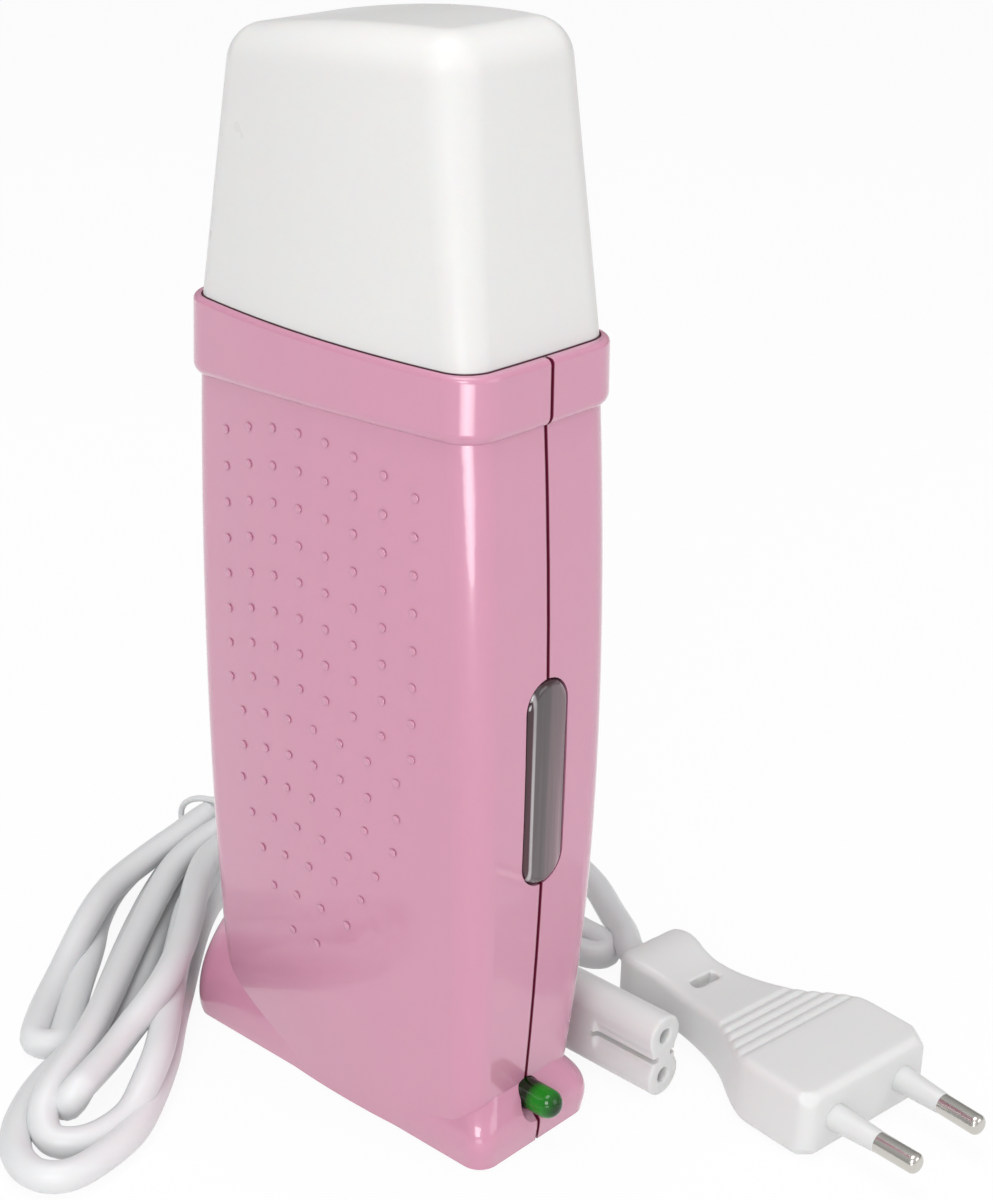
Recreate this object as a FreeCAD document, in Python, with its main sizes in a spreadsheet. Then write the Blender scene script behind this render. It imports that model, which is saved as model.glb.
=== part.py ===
import FreeCAD, Part
import Sketcher
import math
import os

from FreeCAD import Placement, Rotation, Vector

# Roll on wax heater: millimetres, +Z up, the foot stands on z = 0 and the front
# (window and light) faces -Y.  The two shells meet in the plane X = 0.

SIZES = {
    # housing outline
    "collar_bottom": 137.0,
    "collar_height": 11.5,
    "collar_step": 1.4,
    "collar_edge": 1.0,
    "collar_roll": 2.2,
    "collar_drop": 3.2,
    "half_thick_low": 15.9,
    "half_thick_gain": 4.2,
    "half_thick_close": 0.4,
    "front_low": 33.3,
    "back_low": 33.5,
    "half_wide_high": 33.7,
    "front_belly": 3.0,
    "back_belly": 0.9,
    "side_bulge": 3.0,
    "front_bulge": 0.5,
    "body_corner": 6.0,
    "wall": 1.8,
    # foot
    "heel_reach": 40.0,
    "heel_height": 25.0,
    "heel_half": 16.4,
    "toe_reach": 37.8,
    "toe_height": 14.0,
    "toe_half": 15.3,
    "foot_corner": 4.0,
    "foot_roll": 3.0,
    "floor": 2.0,
    # seam between the shells
    "seam_gap": 0.6,
    "lip_thick": 0.8,
    "lip_reach": 1.3,
    "lip_play": 0.15,
    # cap
    "cap_half_thick": 19.8,
    "cap_half_wide": 32.7,
    "cap_wall": 1.6,
    "cap_corner": 6.0,
    "cap_corner_gain": 0.035,
    "cap_side_draft": 0.04,
    "cap_end_draft": 0.128,
    "cap_top": 197.9,
    "cap_slope": 0.103,
    "cap_crown_radius": 230.0,
    "cap_edge": 6.8,
    "cap_play": 0.3,
    "cap_seat_depth": 7.5,
    # cartridge and its well
    "bottle_bottom": 37.0,
    "bottle_top": 137.4,
    "bottle_half_thick": 12.5,
    "bottle_half_wide": 23.4,
    "bottle_flare": 0.9,
    "bottle_corner": 7.0,
    "bottle_wall": 1.0,
    "wax_level": 118.0,
    "neck_half_thick": 8.0,
    "neck_half_wide": 18.0,
    "neck_height": 8.0,
    "well_play": 0.5,
    "well_wall": 0.9,
    "well_rim_thick": 1.2,
    "head_bottom": 139.0,
    "head_top": 171.0,
    "head_half_thick": 14.4,
    "head_half_wide": 27.6,
    "head_draft": 0.03,
    "roller_centre": 168.0,
    "roller_radius": 11.0,
    "roller_length": 45.0,
    "roller_play": 0.5,
    "trunnion_radius": 2.0,
    "trunnion_length": 2.2,
    "bearing_play": 0.06,
    # level window
    "window_width": 10.0,
    "window_height": 39.0,
    "window_middle": 73.3,
    "window_play": 0.25,
    "window_front": 36.9,
    "window_flange": 1.9,
    "window_flange_thick": 1.0,
    "window_flange_face": 34.2,
    # indicator light
    "light_radius": 2.75,
    "light_tip": 40.0,
    "light_base": 31.2,
    "light_axis": 9.2,
    "light_flange": 0.4,
    "lead_size": 0.5,
    "lead_pitch": 2.54,
    "lead_end": 20.0,
    # circuit board
    "board_half_width": 11.0,
    "board_front": 24.0,
    "board_back": 10.0,
    "board_top": 8.7,
    "board_thick": 1.2,
    "post_radius": 2.0,
    # mains inlet in the heel
    "inlet_face": 39.0,
    "inlet_depth": 12.5,
    "inlet_half_width": 10.0,
    "inlet_half_height": 5.5,
    "inlet_axis": 10.6,
    "inlet_floor": 10.0,
    "inlet_wall": 1.1,
    "inlet_ear": 2.2,
    "inlet_ear_face": 35.8,
    "inlet_ear_thick": 1.4,
    "pin_pitch": 8.6,
    "pin_radius": 1.18,
    "pin_tail": 4.0,
    # heating parts behind the well
    "heater_width": 17.0,
    "heater_thick": 5.2,
    "heater_height": 32.0,
    "heater_bottom": 68.0,
    "spring_thick": 0.5,
    "thermostat_height": 20.0,
    "thermostat_width": 7.2,
    "thermostat_thick": 3.5,
    "thermostat_bottom": 44.0,
    "fuse_radius": 2.0,
    "fuse_height": 11.0,
    "fuse_bottom": 46.0,
    "fuse_stub": 1.5,
    "circuit_half": 4.3,
    "seat_play": 0.2,
    "wire_radius": 0.8,
    # shell screws
    "screw_shank": 1.45,
    "screw_head": 2.7,
    "screw_head_thick": 1.8,
    "screw_length": 13.0,
    "boss_radius": 2.9,
    "boss_seat": 4.6,
    "upper_boss_across": 29.5,
    "upper_boss_height": 119.0,
    "lower_boss_front": 25.0,
    "lower_boss_back": 11.0,
    "lower_boss_height": 26.0,
    # cord set
    "cord_radius": 2.9,
    "plug_length": 58.0,
    "plug_half_width": 17.2,
    "plug_height": 13.7,
    "plug_corner": 3.0,
    "plug_edge": 1.8,
    "plug_pin_length": 19.0,
    "plug_pin_radius": 2.0,
    "plug_pin_base": 18.6,
    "plug_pin_tip": 17.5,
    "sleeve_length": 10.0,
    "connector_lobe": 4.2,
    "connector_length": 36.0,
    "relief_length": 22.0,
    "fan_height": 6.4,
    "bundle_height": 10.6,
    "hank_edge": 2.0,
}

doc = FreeCAD.newDocument("roll_on_wax_heater")
sheet = doc.addObject("Spreadsheet::Sheet", "Sizes")
for row, (alias, value) in enumerate(SIZES.items(), start=1):
    sheet.set(f"A{row}", alias)
    sheet.set(f"B{row}", str(value))
    sheet.setAlias(f"B{row}", alias)
doc.recompute()

NODES = []


def size(alias):
    """Value of one named size."""
    return float(getattr(sheet, alias))


# ---------------------------------------------------------------- helpers


def keep(label, shape):
    """A sub-part whose free-form shape is made with Part's own functions."""
    feature = doc.addObject("Part::Feature", label)
    feature.Shape = shape
    feature.Label = label
    NODES.append(feature)
    return feature


def node(feature, label):
    """Mark a bound document object as a sub-part."""
    feature.Label = label
    NODES.append(feature)
    return feature


def bound(kind, name, **expressions):
    """A Part primitive with its properties bound to the sheet."""
    feature = doc.addObject(kind, name)
    for prop, expression in expressions.items():
        feature.setExpression(prop, expression)
    return feature


def place(feature, x="0", y="0", z="0", rotation=None):
    """Bind a primitive's position to the sheet, turned first if asked."""
    if rotation:
        feature.Placement = Placement(Vector(), rotation)
    for axis, expression in zip("xyz", (x, y, z)):
        feature.setExpression(f"Placement.Base.{axis}", expression)
    return feature


def combine(kind, name, base, tool):
    """Part::Cut, Part::Common or Part::Fuse of two features."""
    feature = doc.addObject(kind, name)
    feature.Base = base
    feature.Tool = tool
    return feature


def group(name, features):
    """Several like solids held in one node."""
    feature = doc.addObject("Part::Compound", name)
    feature.Links = features
    return feature


def origin_plane(body, role):
    return next(f for f in body.Origin.OriginFeatures if f.Role == role)


def turned(name, profile):
    """A PartDesign body turned about Z from (radius, height) expressions."""
    body = doc.addObject("PartDesign::Body", name)
    sketch = body.newObject("Sketcher::SketchObject", name + "_profile")
    sketch.AttachmentSupport = [(origin_plane(body, "XZ_Plane"), "")]
    sketch.MapMode = "FlatFace"
    corners = [Vector(value(r), value(z), 0) for r, z in profile]
    count = len(corners)
    for i in range(count):
        sketch.addGeometry(Part.LineSegment(corners[i], corners[(i + 1) % count]))
    for i in range(count):
        sketch.addConstraint(
            Sketcher.Constraint("Coincident", i, 2, (i + 1) % count, 1))
    for i, (radius, height) in enumerate(profile):
        bind_corner(sketch, i, radius, height)
    turn = body.newObject("PartDesign::Revolution", name + "_turn")
    turn.Profile = sketch
    turn.ReferenceAxis = (sketch, ["V_Axis"])
    turn.Angle = 360.0
    body.Tip = turn
    return body


def bind_corner(sketch, index, across, up):
    """Fix one sketch corner from the origin by two expressions."""
    for kind, expression in (("DistanceX", across), ("DistanceY", up)):
        if value(expression) == 0 and kind == "DistanceX":
            sketch.addConstraint(Sketcher.Constraint("PointOnObject", index, 1, -2))
            continue
        if value(expression) == 0:
            sketch.addConstraint(Sketcher.Constraint("PointOnObject", index, 1, -1))
            continue
        number = sketch.addConstraint(
            Sketcher.Constraint(kind, -1, 1, index, 1, value(expression)))
        sketch.setExpression(f"Constraints[{number}]", expression)


def value(expression):
    """Present value of an expression over the sheet."""
    return float(sheet.evalExpression(expression))


def quarter(half_thick, half_wide, bulge_side, bulge_end, corner):
    """Ends and middle of one corner arc that is tangent to a bowed side and end."""
    side_radius = (half_wide ** 2 + bulge_side ** 2) / (2 * bulge_side)
    end_radius = (half_thick ** 2 + bulge_end ** 2) / (2 * bulge_end)
    side_centre = half_thick - side_radius
    end_centre = half_wide - end_radius
    reach_side = side_radius - corner
    reach_end = end_radius - corner
    apart = math.hypot(side_centre, end_centre)
    along = (reach_side ** 2 - reach_end ** 2 + apart ** 2) / (2 * apart)
    off = math.sqrt(reach_side ** 2 - along ** 2)
    unit_x = -side_centre / apart
    unit_y = end_centre / apart
    centre_x = side_centre + along * unit_x - off * unit_y
    centre_y = along * unit_y + off * unit_x
    side_angle = math.atan2(centre_y, centre_x - side_centre)
    end_angle = math.atan2(centre_y - end_centre, centre_x)
    angles = (side_angle, (side_angle + end_angle) / 2, end_angle)
    points = [(centre_x + corner * math.cos(angle), centre_y + corner * math.sin(angle))
              for angle in angles]
    half_side = side_angle / 2
    bow = (side_centre + side_radius * math.cos(half_side),
           side_radius * math.sin(half_side))
    return points, bow


def outline(half_thick, back, front, bulge_side, bulge_end, corner, z):
    """Closed wire: bowed sides and ends joined by four tangent corners."""
    edges = []
    tips = {}
    for half_wide, way in ((back, 1), (front, -1)):
        (on_side, knee, on_end), bow = quarter(
            half_thick, half_wide, bulge_side, bulge_end, corner)

        def at(point, side):
            return Vector(side * point[0], way * point[1], z)

        for side in (1, -1):
            waist = Vector(side * half_thick, 0, z)
            edges.append(Part.Arc(waist, at(bow, side), at(on_side, side)).toShape())
            edges.append(Part.Arc(at(on_side, side), at(knee, side),
                                  at(on_end, side)).toShape())
        tips[way] = Part.Arc(at(on_end, 1), Vector(0, way * half_wide, z),
                             at(on_end, -1)).toShape()
    ring = [edges[0], edges[1], tips[1], edges[3], edges[2],
            edges[6], edges[7], tips[-1], edges[5], edges[4]]
    return Part.Wire(ring)


def even_outline(half_thick, half_wide, bulge_side, bulge_end, corner, z):
    return outline(half_thick, half_wide, half_wide, bulge_side, bulge_end, corner, z)


def loft(wires, ruled=False):
    return Part.makeLoft(wires, True, ruled)


def obround(half_long, half_short, z):
    """Slot outline in the XY plane, long along X."""
    straight = half_long - half_short
    edges = [
        Part.LineSegment(Vector(-straight, -half_short, z), Vector(straight, -half_short, z)),
        Part.Arc(Vector(straight, -half_short, z), Vector(half_long, 0, z),
                 Vector(straight, half_short, z)),
        Part.LineSegment(Vector(straight, half_short, z), Vector(-straight, half_short, z)),
        Part.Arc(Vector(-straight, half_short, z), Vector(-half_long, 0, z),
                 Vector(-straight, -half_short, z)),
    ]
    return Part.Wire([edge.toShape() for edge in edges])


def prism(wire, height):
    """Solid from a flat wire pushed along Z."""
    return Part.Face(wire).extrude(Vector(0, 0, height))


def facing_front(shape, y, z):
    """Turn a shape drawn in XY, thick along Z, so that its thickness runs along -Y."""
    stood = shape.copy()
    stood.Placement = Placement(Vector(0, y, z), Rotation(Vector(1, 0, 0), 90)).multiply(
        shape.Placement)
    return stood


def block(x0, x1, y0, y1, z0, z1):
    return Part.makeBox(x1 - x0, y1 - y0, z1 - z0, Vector(x0, y0, z0))


def rounded(points, end_radii=None):
    """Path of straight runs joined by the largest tangent arcs that fit."""
    edges = []
    radii = []
    start = points[0]
    for i in range(1, len(points) - 1):
        before, corner, after = points[i - 1], points[i], points[i + 1]
        into = corner - before
        out = after - corner
        shorter = min(into.Length, out.Length)
        turn = into.getAngle(out)
        cut = 0.45 * shorter
        radii.append(cut / math.tan(turn / 2))
        into.normalize()
        out.normalize()
        first = corner - into * cut
        last = corner + out * cut
        bisector = (out - into).normalize()
        centre = corner + bisector * math.hypot(cut, radii[-1])
        knee = centre - bisector * radii[-1]
        edges.append(Part.LineSegment(start, first).toShape())
        edges.append(Part.Arc(first, knee, last).toShape())
        start = last
    edges.append(Part.LineSegment(start, points[-1]).toShape())
    return Part.Wire(edges), radii


def tube(name, points, radius):
    """Round cord solid along a route of runs and arcs."""
    path, radii = rounded(points)
    start = path.OrderedEdges[0]
    circle = Part.Circle(start.valueAt(start.FirstParameter),
                         start.tangentAt(start.FirstParameter), radius)
    solid = path.makePipeShell([Part.Wire(circle.toShape())], True, False)
    expected = math.pi * radius ** 2 * path.Length
    print(f"{name}: {path.Length:.1f} long, smallest bend {min(radii):.1f},",
          f"volume ratio {solid.Volume / expected:.4f}")
    return solid


# ---------------------------------------------------------------- housing

collar_bottom = size("collar_bottom")
collar_top = collar_bottom + size("collar_height")
wall = size("wall")
cap_seat = collar_top - size("cap_seat_depth")


def body_half_thick(z):
    """Half thickness: fills out quickly above the foot, closes a little at the mouth."""
    share = z / collar_bottom
    return (size("half_thick_low") + size("half_thick_gain") * (1 - (1 - share) ** 4)
            - size("half_thick_close") * share ** 3)


def body_front(z):
    """Reach of the front face from the middle, with a full belly."""
    share = min(z / collar_bottom, 1.0)
    rise = (size("half_wide_high") - size("front_low")) * share
    return size("front_low") + rise + size("front_belly") * 4 * share * (1 - share)


def body_back(z):
    """Reach of the back face from the middle, with a slighter, higher belly."""
    share = min(z / collar_bottom, 1.0)
    rise = (size("half_wide_high") - size("back_low")) * share
    belly = size("back_belly") * 6.75 * share ** 2 * (1 - share)
    return size("back_low") + rise + belly


def body_loft(inset, bottom, top):
    """The barrel-shaped body, or the same form drawn in by an inset."""
    steps = 6
    wires = []
    for i in range(steps + 1):
        z = bottom + (top - bottom) * i / steps
        shared = min(z, collar_bottom)
        wires.append(outline(
            body_half_thick(shared) - inset, body_back(shared) - inset,
            body_front(shared) - inset, size("side_bulge"), size("front_bulge"),
            size("body_corner") - 0.6 * inset, z))
    return loft(wires)


def foot_outline(z, inset):
    """Plan of the flared foot: wider at the heel, its flare falling away upwards."""
    roll = size("foot_roll")
    heel_share = max((z - roll) / (size("heel_height") - roll), 0.0)
    toe_share = min(max((z - roll) / (size("toe_height") - roll), 0.0), 1.0)
    under = 0.4 * max(1 - z / roll, 0.0)
    heel_in = body_back(size("heel_height")) - 1.6
    toe_in = body_front(size("toe_height")) - 1.8
    heel = size("heel_reach") - (size("heel_reach") - heel_in) * heel_share ** 2
    toe = size("toe_reach") - (size("toe_reach") - toe_in) * toe_share ** 2
    heel_half = size("heel_half") - 1.8 * heel_share ** 2
    toe_half = size("toe_half") - 6.0 * toe_share ** 2
    heel -= under + inset
    toe -= under + inset
    heel_half -= under + inset
    toe_half -= under + inset
    radius = max(size("foot_corner") - inset, 1.2)
    corners = [Vector(toe_half, -toe, z), Vector(heel_half, heel, z),
               Vector(-heel_half, heel, z), Vector(-toe_half, -toe, z)]
    edges = []
    ends = []
    for i, corner in enumerate(corners):
        into = (corner - corners[i - 1]).normalize()
        out = (corners[(i + 1) % 4] - corner).normalize()
        cut = radius * math.tan(into.getAngle(out) / 2)
        bisector = (out - into).normalize()
        centre = corner + bisector * math.hypot(cut, radius)
        ends.append((corner - into * cut, centre - bisector * radius, corner + out * cut))
    for i in range(4):
        first, knee, last = ends[i]
        edges.append(Part.Arc(first, knee, last).toShape())
        edges.append(Part.LineSegment(last, ends[(i + 1) % 4][0]).toShape())
    return Part.Wire(edges)


def foot_loft(inset, bottom):
    top = size("heel_height")
    roll = size("foot_roll")
    heights = [bottom, roll] + [roll + (top - roll) * i / 4 for i in range(1, 5)]
    return loft([foot_outline(z, inset) for z in heights])


def collar_solid():
    """Band round the mouth: its rolled lower edge sweeps down towards the back."""
    half_thick = body_half_thick(collar_bottom) + size("collar_step")
    half_wide = size("half_wide_high") + size("collar_step")
    low = collar_bottom - size("collar_drop") - 2.0
    rings = [even_outline(half_thick - drawn, half_wide - drawn, size("side_bulge"),
                          size("front_bulge"), size("body_corner") + size("collar_step"), z)
             for z, drawn in ((low, 0.0), (collar_top, 0.3))]
    band = loft(rings, True)
    sweep = Part.BSplineCurve()
    sweep.interpolate([
        Vector(-half_thick - 5, way * half_wide,
               collar_bottom - size("collar_drop") * ((1 + way) / 2) ** 2)
        for way in (-1.15, -0.5, 0, 0.5, 1.15)])
    ends = sweep.value(sweep.FirstParameter), sweep.value(sweep.LastParameter)
    below = [Vector(end.x, end.y, low - 5) for end in ends]
    under = Part.Face(Part.Wire([
        sweep.toShape(),
        Part.LineSegment(ends[1], below[1]).toShape(),
        Part.LineSegment(below[1], below[0]).toShape(),
        Part.LineSegment(below[0], ends[0]).toShape(),
    ])).extrude(Vector(2 * half_thick + 10, 0, 0))
    band = band.cut(under)
    lower = [edge for edge in band.Edges if edge.BoundBox.ZMax < collar_bottom + 0.5]
    band = band.makeFillet(size("collar_roll"), lower)
    upper = [edge for edge in band.Edges if edge.BoundBox.ZMin > collar_top - 0.01]
    return band.makeFillet(size("collar_edge"), upper)


def cap_outline(inset, z):
    """Cap section at a height above the collar, drawn in by an inset."""
    rise = max(z - collar_top, 0.0)
    return even_outline(size("cap_half_thick") - size("cap_side_draft") * rise - inset,
                        size("cap_half_wide") - size("cap_end_draft") * rise - inset,
                        size("side_bulge"), size("front_bulge"),
                        size("cap_corner") + size("cap_corner_gain") * rise - 0.6 * inset, z)


outside = body_loft(0, 0, collar_bottom + 0.5)
outside = outside.fuse(foot_loft(0, 0)).fuse(collar_solid())

inside = body_loft(wall, size("floor"), cap_seat)
inside = inside.fuse(foot_loft(wall, size("floor")))
mouth = prism(cap_outline(-size("cap_play"), cap_seat - 0.01), size("cap_seat_depth") + 5)
inside = inside.fuse(mouth)
walls = outside.cut(inside)

# bosses for the four screws, on the axes (y, z)
boss_axes = [
    (-size("upper_boss_across"), size("upper_boss_height")),
    (size("upper_boss_across"), size("upper_boss_height")),
    (-size("lower_boss_front"), size("lower_boss_height")),
    (size("lower_boss_back"), size("lower_boss_height")),
]


def rod(radius, x0, x1, y, z):
    return Part.makeCylinder(radius, x1 - x0, Vector(x0, y, z), Vector(1, 0, 0))


core = body_loft(wall / 2, size("floor") / 2, collar_bottom)
foot_core = foot_loft(wall / 2, size("floor") / 2)
well_bottom = size("bottle_bottom") - size("well_play") - size("well_wall")
reach = size("heel_reach")


def ribs_and_bosses(side):
    """Screw bosses, board posts and the ribs that carry the well."""
    low, high = (-reach, -size("seam_gap") / 2) if side < 0 else (size("seam_gap") / 2, reach)
    pieces = []
    for y, z in boss_axes:
        pieces.append(rod(size("boss_radius"), low, high, y, z).common(core))
    rib = wall
    for y in (-3.0 * rib, 3.0 * rib):
        plate = block(low, high, y - rib / 2, y + rib / 2,
                      well_bottom - 6.0, well_bottom - 0.1)
        pieces.append(plate.common(core))
    post_top = size("board_top") - size("board_thick")
    for y in (-size("board_front") + 4.0, size("board_back") - 4.0):
        pieces.append(Part.makeCylinder(
            size("post_radius"), post_top - size("floor") / 2,
            Vector(side * (size("board_half_width") - 3.0), y, size("floor") / 2)))
    pieces += [light_seat(low, high), inlet_clamp(side)]
    return pieces


def light_seat(low, high):
    """Thicker wall round the light's hole, flat on the inside for its flange."""
    seat_face = size("light_base") + 1.1
    pad = Part.makeCylinder(size("light_radius") + 1.6, 6.0,
                            Vector(0, -seat_face, size("light_axis")), Vector(0, -1, 0))
    return pad.common(foot_core).common(block(low, high, -reach, 0, 0, 30))


def inlet_clamp(side):
    """Rib that holds the inlet's ear against the heel wall."""
    front = size("inlet_ear_face") - size("inlet_ear_thick") - 0.2 - 1.6
    near = size("inlet_half_width") + 0.4
    low, high = sorted((side * near, side * reach))
    rib = block(low, high, front, front + 1.6, size("floor") / 2,
                size("inlet_axis") + size("inlet_half_height"))
    return rib.common(foot_core)


def shell(side):
    """One half of the housing: -1 is the left (-X) shell, +1 the right one."""
    half_gap = size("seam_gap") / 2
    big = 100.0
    if side < 0:
        half = block(-big, -half_gap, -big, big, -1, 250)
    else:
        half = block(half_gap, big, -big, big, -1, 250)
    solid = walls.common(half)
    solid = solid.fuse(ribs_and_bosses(side))
    # seam lip: the left shell carries it, the right shell has the rebate
    lip_low = size("heel_height") + 2.0
    lip_high = cap_seat - 3.0
    inner = body_loft(wall, size("floor"), cap_seat)
    if side < 0:
        ring = body_loft(wall - size("lip_thick"), 0, collar_bottom + 4).cut(inner)
        solid = solid.fuse(ring.common(
            block(-1.0, size("lip_reach"), -big, big, lip_low, lip_high)))
    else:
        play = size("lip_play")
        ring = body_loft(wall - size("lip_thick") - play, 0, collar_bottom + 4)
        rebate = ring.common(block(-1.0, size("lip_reach") + play, -big, big,
                                   lip_low - play, lip_high + play))
        bosses = [rod(size("boss_radius"), half_gap, reach, y, z).common(core)
                  for y, z in boss_axes]
        solid = solid.cut(rebate).fuse(bosses)
    # openings that both shells share
    cutters = [window_hole(), window_pocket(), light_hole(), inlet_hole()]
    for y, z in boss_axes:
        if side < 0:
            cutters.append(rod(size("screw_shank") - 0.15, -size("screw_length") + 3.0,
                               0.1, y, z))
        else:
            cutters.append(rod(size("screw_shank") + 0.2, 0, 20, y, z))
            cutters.append(rod(size("screw_head") + 0.3, size("boss_seat"), 60, y, z))
    solid = solid.cut(cutters)
    return max(solid.Solids, key=lambda part: part.Volume)


def window_hole():
    play = size("window_play")
    slot = prism(obround(size("window_height") / 2 + play,
                         size("window_width") / 2 + play, 0), 30)
    slot.rotate(Vector(), Vector(0, 0, 1), 90)
    return facing_front(slot, -size("window_flange_face") + 6, size("window_middle"))


def window_pocket():
    half_wide = size("window_width") / 2 + size("window_flange") + 0.4
    half_high = size("window_height") / 2 + size("window_flange") + 0.4
    face = -size("window_flange_face") - 0.1
    return block(-half_wide, half_wide, face, face + 6,
                 size("window_middle") - half_high, size("window_middle") + half_high)


def light_hole():
    axis = Vector(0, -1, 0)
    base = Vector(0, -size("light_base") - 0.5, size("light_axis"))
    hole = Part.makeCylinder(size("light_radius") + 0.15, 20, base, axis)
    dish_at = Vector(0, -size("toe_reach") + 1.9, size("light_axis"))
    dish = Part.makeCone(size("light_radius") + 0.15, size("light_radius") + 2.2, 2.2,
                         dish_at, axis)
    return hole.fuse(dish)


def inlet_hole():
    slot = prism(obround(size("inlet_half_width") + 0.2, size("inlet_half_height") + 0.2, 0), 20)
    return facing_front(slot, size("inlet_face") + 10, size("inlet_axis"))


keep("left_shell", shell(-1))
keep("right_shell", shell(1))


def cap_form(inset, bottom):
    """Drafted walls under a crowned top that falls towards the back."""
    above = size("cap_top") + 10.0
    walls_form = loft([cap_outline(inset, z) for z in (bottom, collar_top, above)], True)
    span = 50.0
    sag = span ** 2 / (2 * size("cap_crown_radius"))
    level = size("cap_top") - inset
    front = Vector(-50, -span, level + size("cap_slope") * span - sag)
    back = Vector(-50, span, level - size("cap_slope") * span - sag)
    edges = [
        Part.Arc(front, Vector(-50, 0, level), back).toShape(),
        Part.LineSegment(back, Vector(-50, span, 0)).toShape(),
        Part.LineSegment(Vector(-50, span, 0), Vector(-50, -span, 0)).toShape(),
        Part.LineSegment(Vector(-50, -span, 0), front).toShape(),
    ]
    under_crown = Part.Face(Part.Wire(edges)).extrude(Vector(100, 0, 0))
    form = walls_form.common(under_crown)
    rim = [edge for edge in form.Edges
           if edge.BoundBox.ZMin > level - 15 and edge.BoundBox.ZMax < above - 1]
    return form.makeFillet(size("cap_edge") - inset, rim)


def cap_solid():
    outer = cap_form(0, cap_seat + 0.2)
    inner = cap_form(size("cap_wall"), cap_seat - 1.0)
    return outer.cut(inner)


keep("cap", cap_solid())

# ---------------------------------------------------------------- window and light


def window_solid():
    """Smoked lens that fills the slot, with a flange behind the wall."""
    face = size("window_flange_face")
    thick = size("window_flange_thick")
    lens = prism(obround(size("window_height") / 2, size("window_width") / 2, 0),
                 size("window_front") - face + thick)
    front = [edge for edge in lens.Edges
             if edge.BoundBox.ZMin > size("window_front") - face + thick - 0.01]
    lens = lens.makeFillet(1.4, front)
    extra = size("window_flange")
    flange = prism(obround(size("window_height") / 2 + extra,
                           size("window_width") / 2 + extra, 0), thick)
    window = lens.fuse(flange)
    window.rotate(Vector(), Vector(0, 0, 1), 90)
    return facing_front(window, -face + thick, size("window_middle"))


keep("level_window", window_solid())

forward = Rotation(Vector(1, 0, 0), 90)
light_stem = bound("Part::Cylinder", "light_stem", Radius="Sizes.light_radius",
                   Height="Sizes.light_tip - Sizes.light_base - Sizes.light_radius")
place(light_stem, y="-Sizes.light_base", z="Sizes.light_axis", rotation=forward)
light_dome = bound("Part::Sphere", "light_dome", Radius="Sizes.light_radius")
place(light_dome, y="-Sizes.light_tip + Sizes.light_radius", z="Sizes.light_axis",
      rotation=forward)
light_foot = bound("Part::Cylinder", "light_foot", Height="1",
                   Radius="Sizes.light_radius + Sizes.light_flange")
place(light_foot, y="-Sizes.light_base", z="Sizes.light_axis", rotation=forward)
light = doc.addObject("Part::MultiFuse", "light_body")
light.Shapes = [light_stem, light_dome, light_foot]
node(light, "indicator_light")

leads = []
for name, sign in (("anode", "1"), ("cathode", "-1")):
    lead = bound("Part::Box", name, Length="Sizes.lead_size",
                 Width="Sizes.light_base - Sizes.lead_end - 0.05", Height="Sizes.lead_size")
    place(lead, x=f"{sign} * Sizes.lead_pitch / 2 - Sizes.lead_size / 2",
          y="-Sizes.light_base + 0.05", z="Sizes.light_axis - Sizes.lead_size / 2")
    leads.append(lead)
node(group("light_lead_pair", leads), "light_leads")

# ---------------------------------------------------------------- circuit board

board = bound("Part::Box", "board_blank", Length="2 * Sizes.board_half_width",
              Width="Sizes.board_front + Sizes.board_back", Height="Sizes.board_thick")
place(board, x="-Sizes.board_half_width", y="-Sizes.board_front",
      z="Sizes.board_top - Sizes.board_thick")
notch = bound("Part::Box", "board_notch", Length="6", Width="4", Height="4")
place(notch, x="-3", y="Sizes.board_back - 2", z="Sizes.board_top - 3")
node(combine("Part::Cut", "board_cut", board, notch), "circuit_board")

resistor = turned("resistor_body", [
    ("0", "0"), ("1.3", "0"), ("1.3", "2"), ("1.1", "2.4"), ("1.1", "6.6"),
    ("1.3", "7"), ("1.3", "9"), ("0", "9"),
])
place(resistor, x="-4.5", y="-14", z="Sizes.board_top + 1.4",
      rotation=Rotation(Vector(0, 1, 0), 90))
node(resistor, "board_resistor")

diode = turned("diode_body", [("0", "0"), ("1.35", "0"), ("1.35", "5.2"), ("0", "5.2")])
place(diode, x="-2.6", y="-6", z="Sizes.board_top + 1.45",
      rotation=Rotation(Vector(0, 1, 0), 90))
node(diode, "board_diode")

# ---------------------------------------------------------------- mains inlet


def inlet_solid():
    """Two-pin appliance inlet: an open socket with two ears inside the heel."""
    half_width = size("inlet_half_width")
    half_height = size("inlet_half_height")
    body = prism(obround(half_width, half_height, 0), size("inlet_depth"))
    ear = size("inlet_ear")
    setback = size("inlet_face") - size("inlet_ear_face")
    flange = block(-half_width - ear, half_width + ear, -half_height + 1.5,
                   half_height - 1.5, setback, setback + size("inlet_ear_thick"))
    rim = size("inlet_wall")
    socket = prism(obround(half_width - rim, half_height - rim, 0), size("inlet_floor"))
    solid = body.fuse(flange).cut(socket)
    holes = [Part.makeCylinder(size("pin_radius"), 40,
                               Vector(sign * size("pin_pitch") / 2, 0, -5))
             for sign in (-1, 1)]
    solid = solid.cut(holes)
    return facing_front(solid, size("inlet_face"), size("inlet_axis"))


keep("mains_inlet", inlet_solid())

pins = []
for name, sign in (("inlet_pin_a", "1"), ("inlet_pin_b", "-1")):
    pin = bound("Part::Cylinder", name, Radius="Sizes.pin_radius",
                Height="Sizes.inlet_depth + Sizes.pin_tail - 1")
    place(pin, x=f"{sign} * Sizes.pin_pitch / 2", y="Sizes.inlet_face - 1",
          z="Sizes.inlet_axis", rotation=forward)
    pins.append(pin)
node(group("inlet_pin_pair", pins), "inlet_pins")

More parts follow.
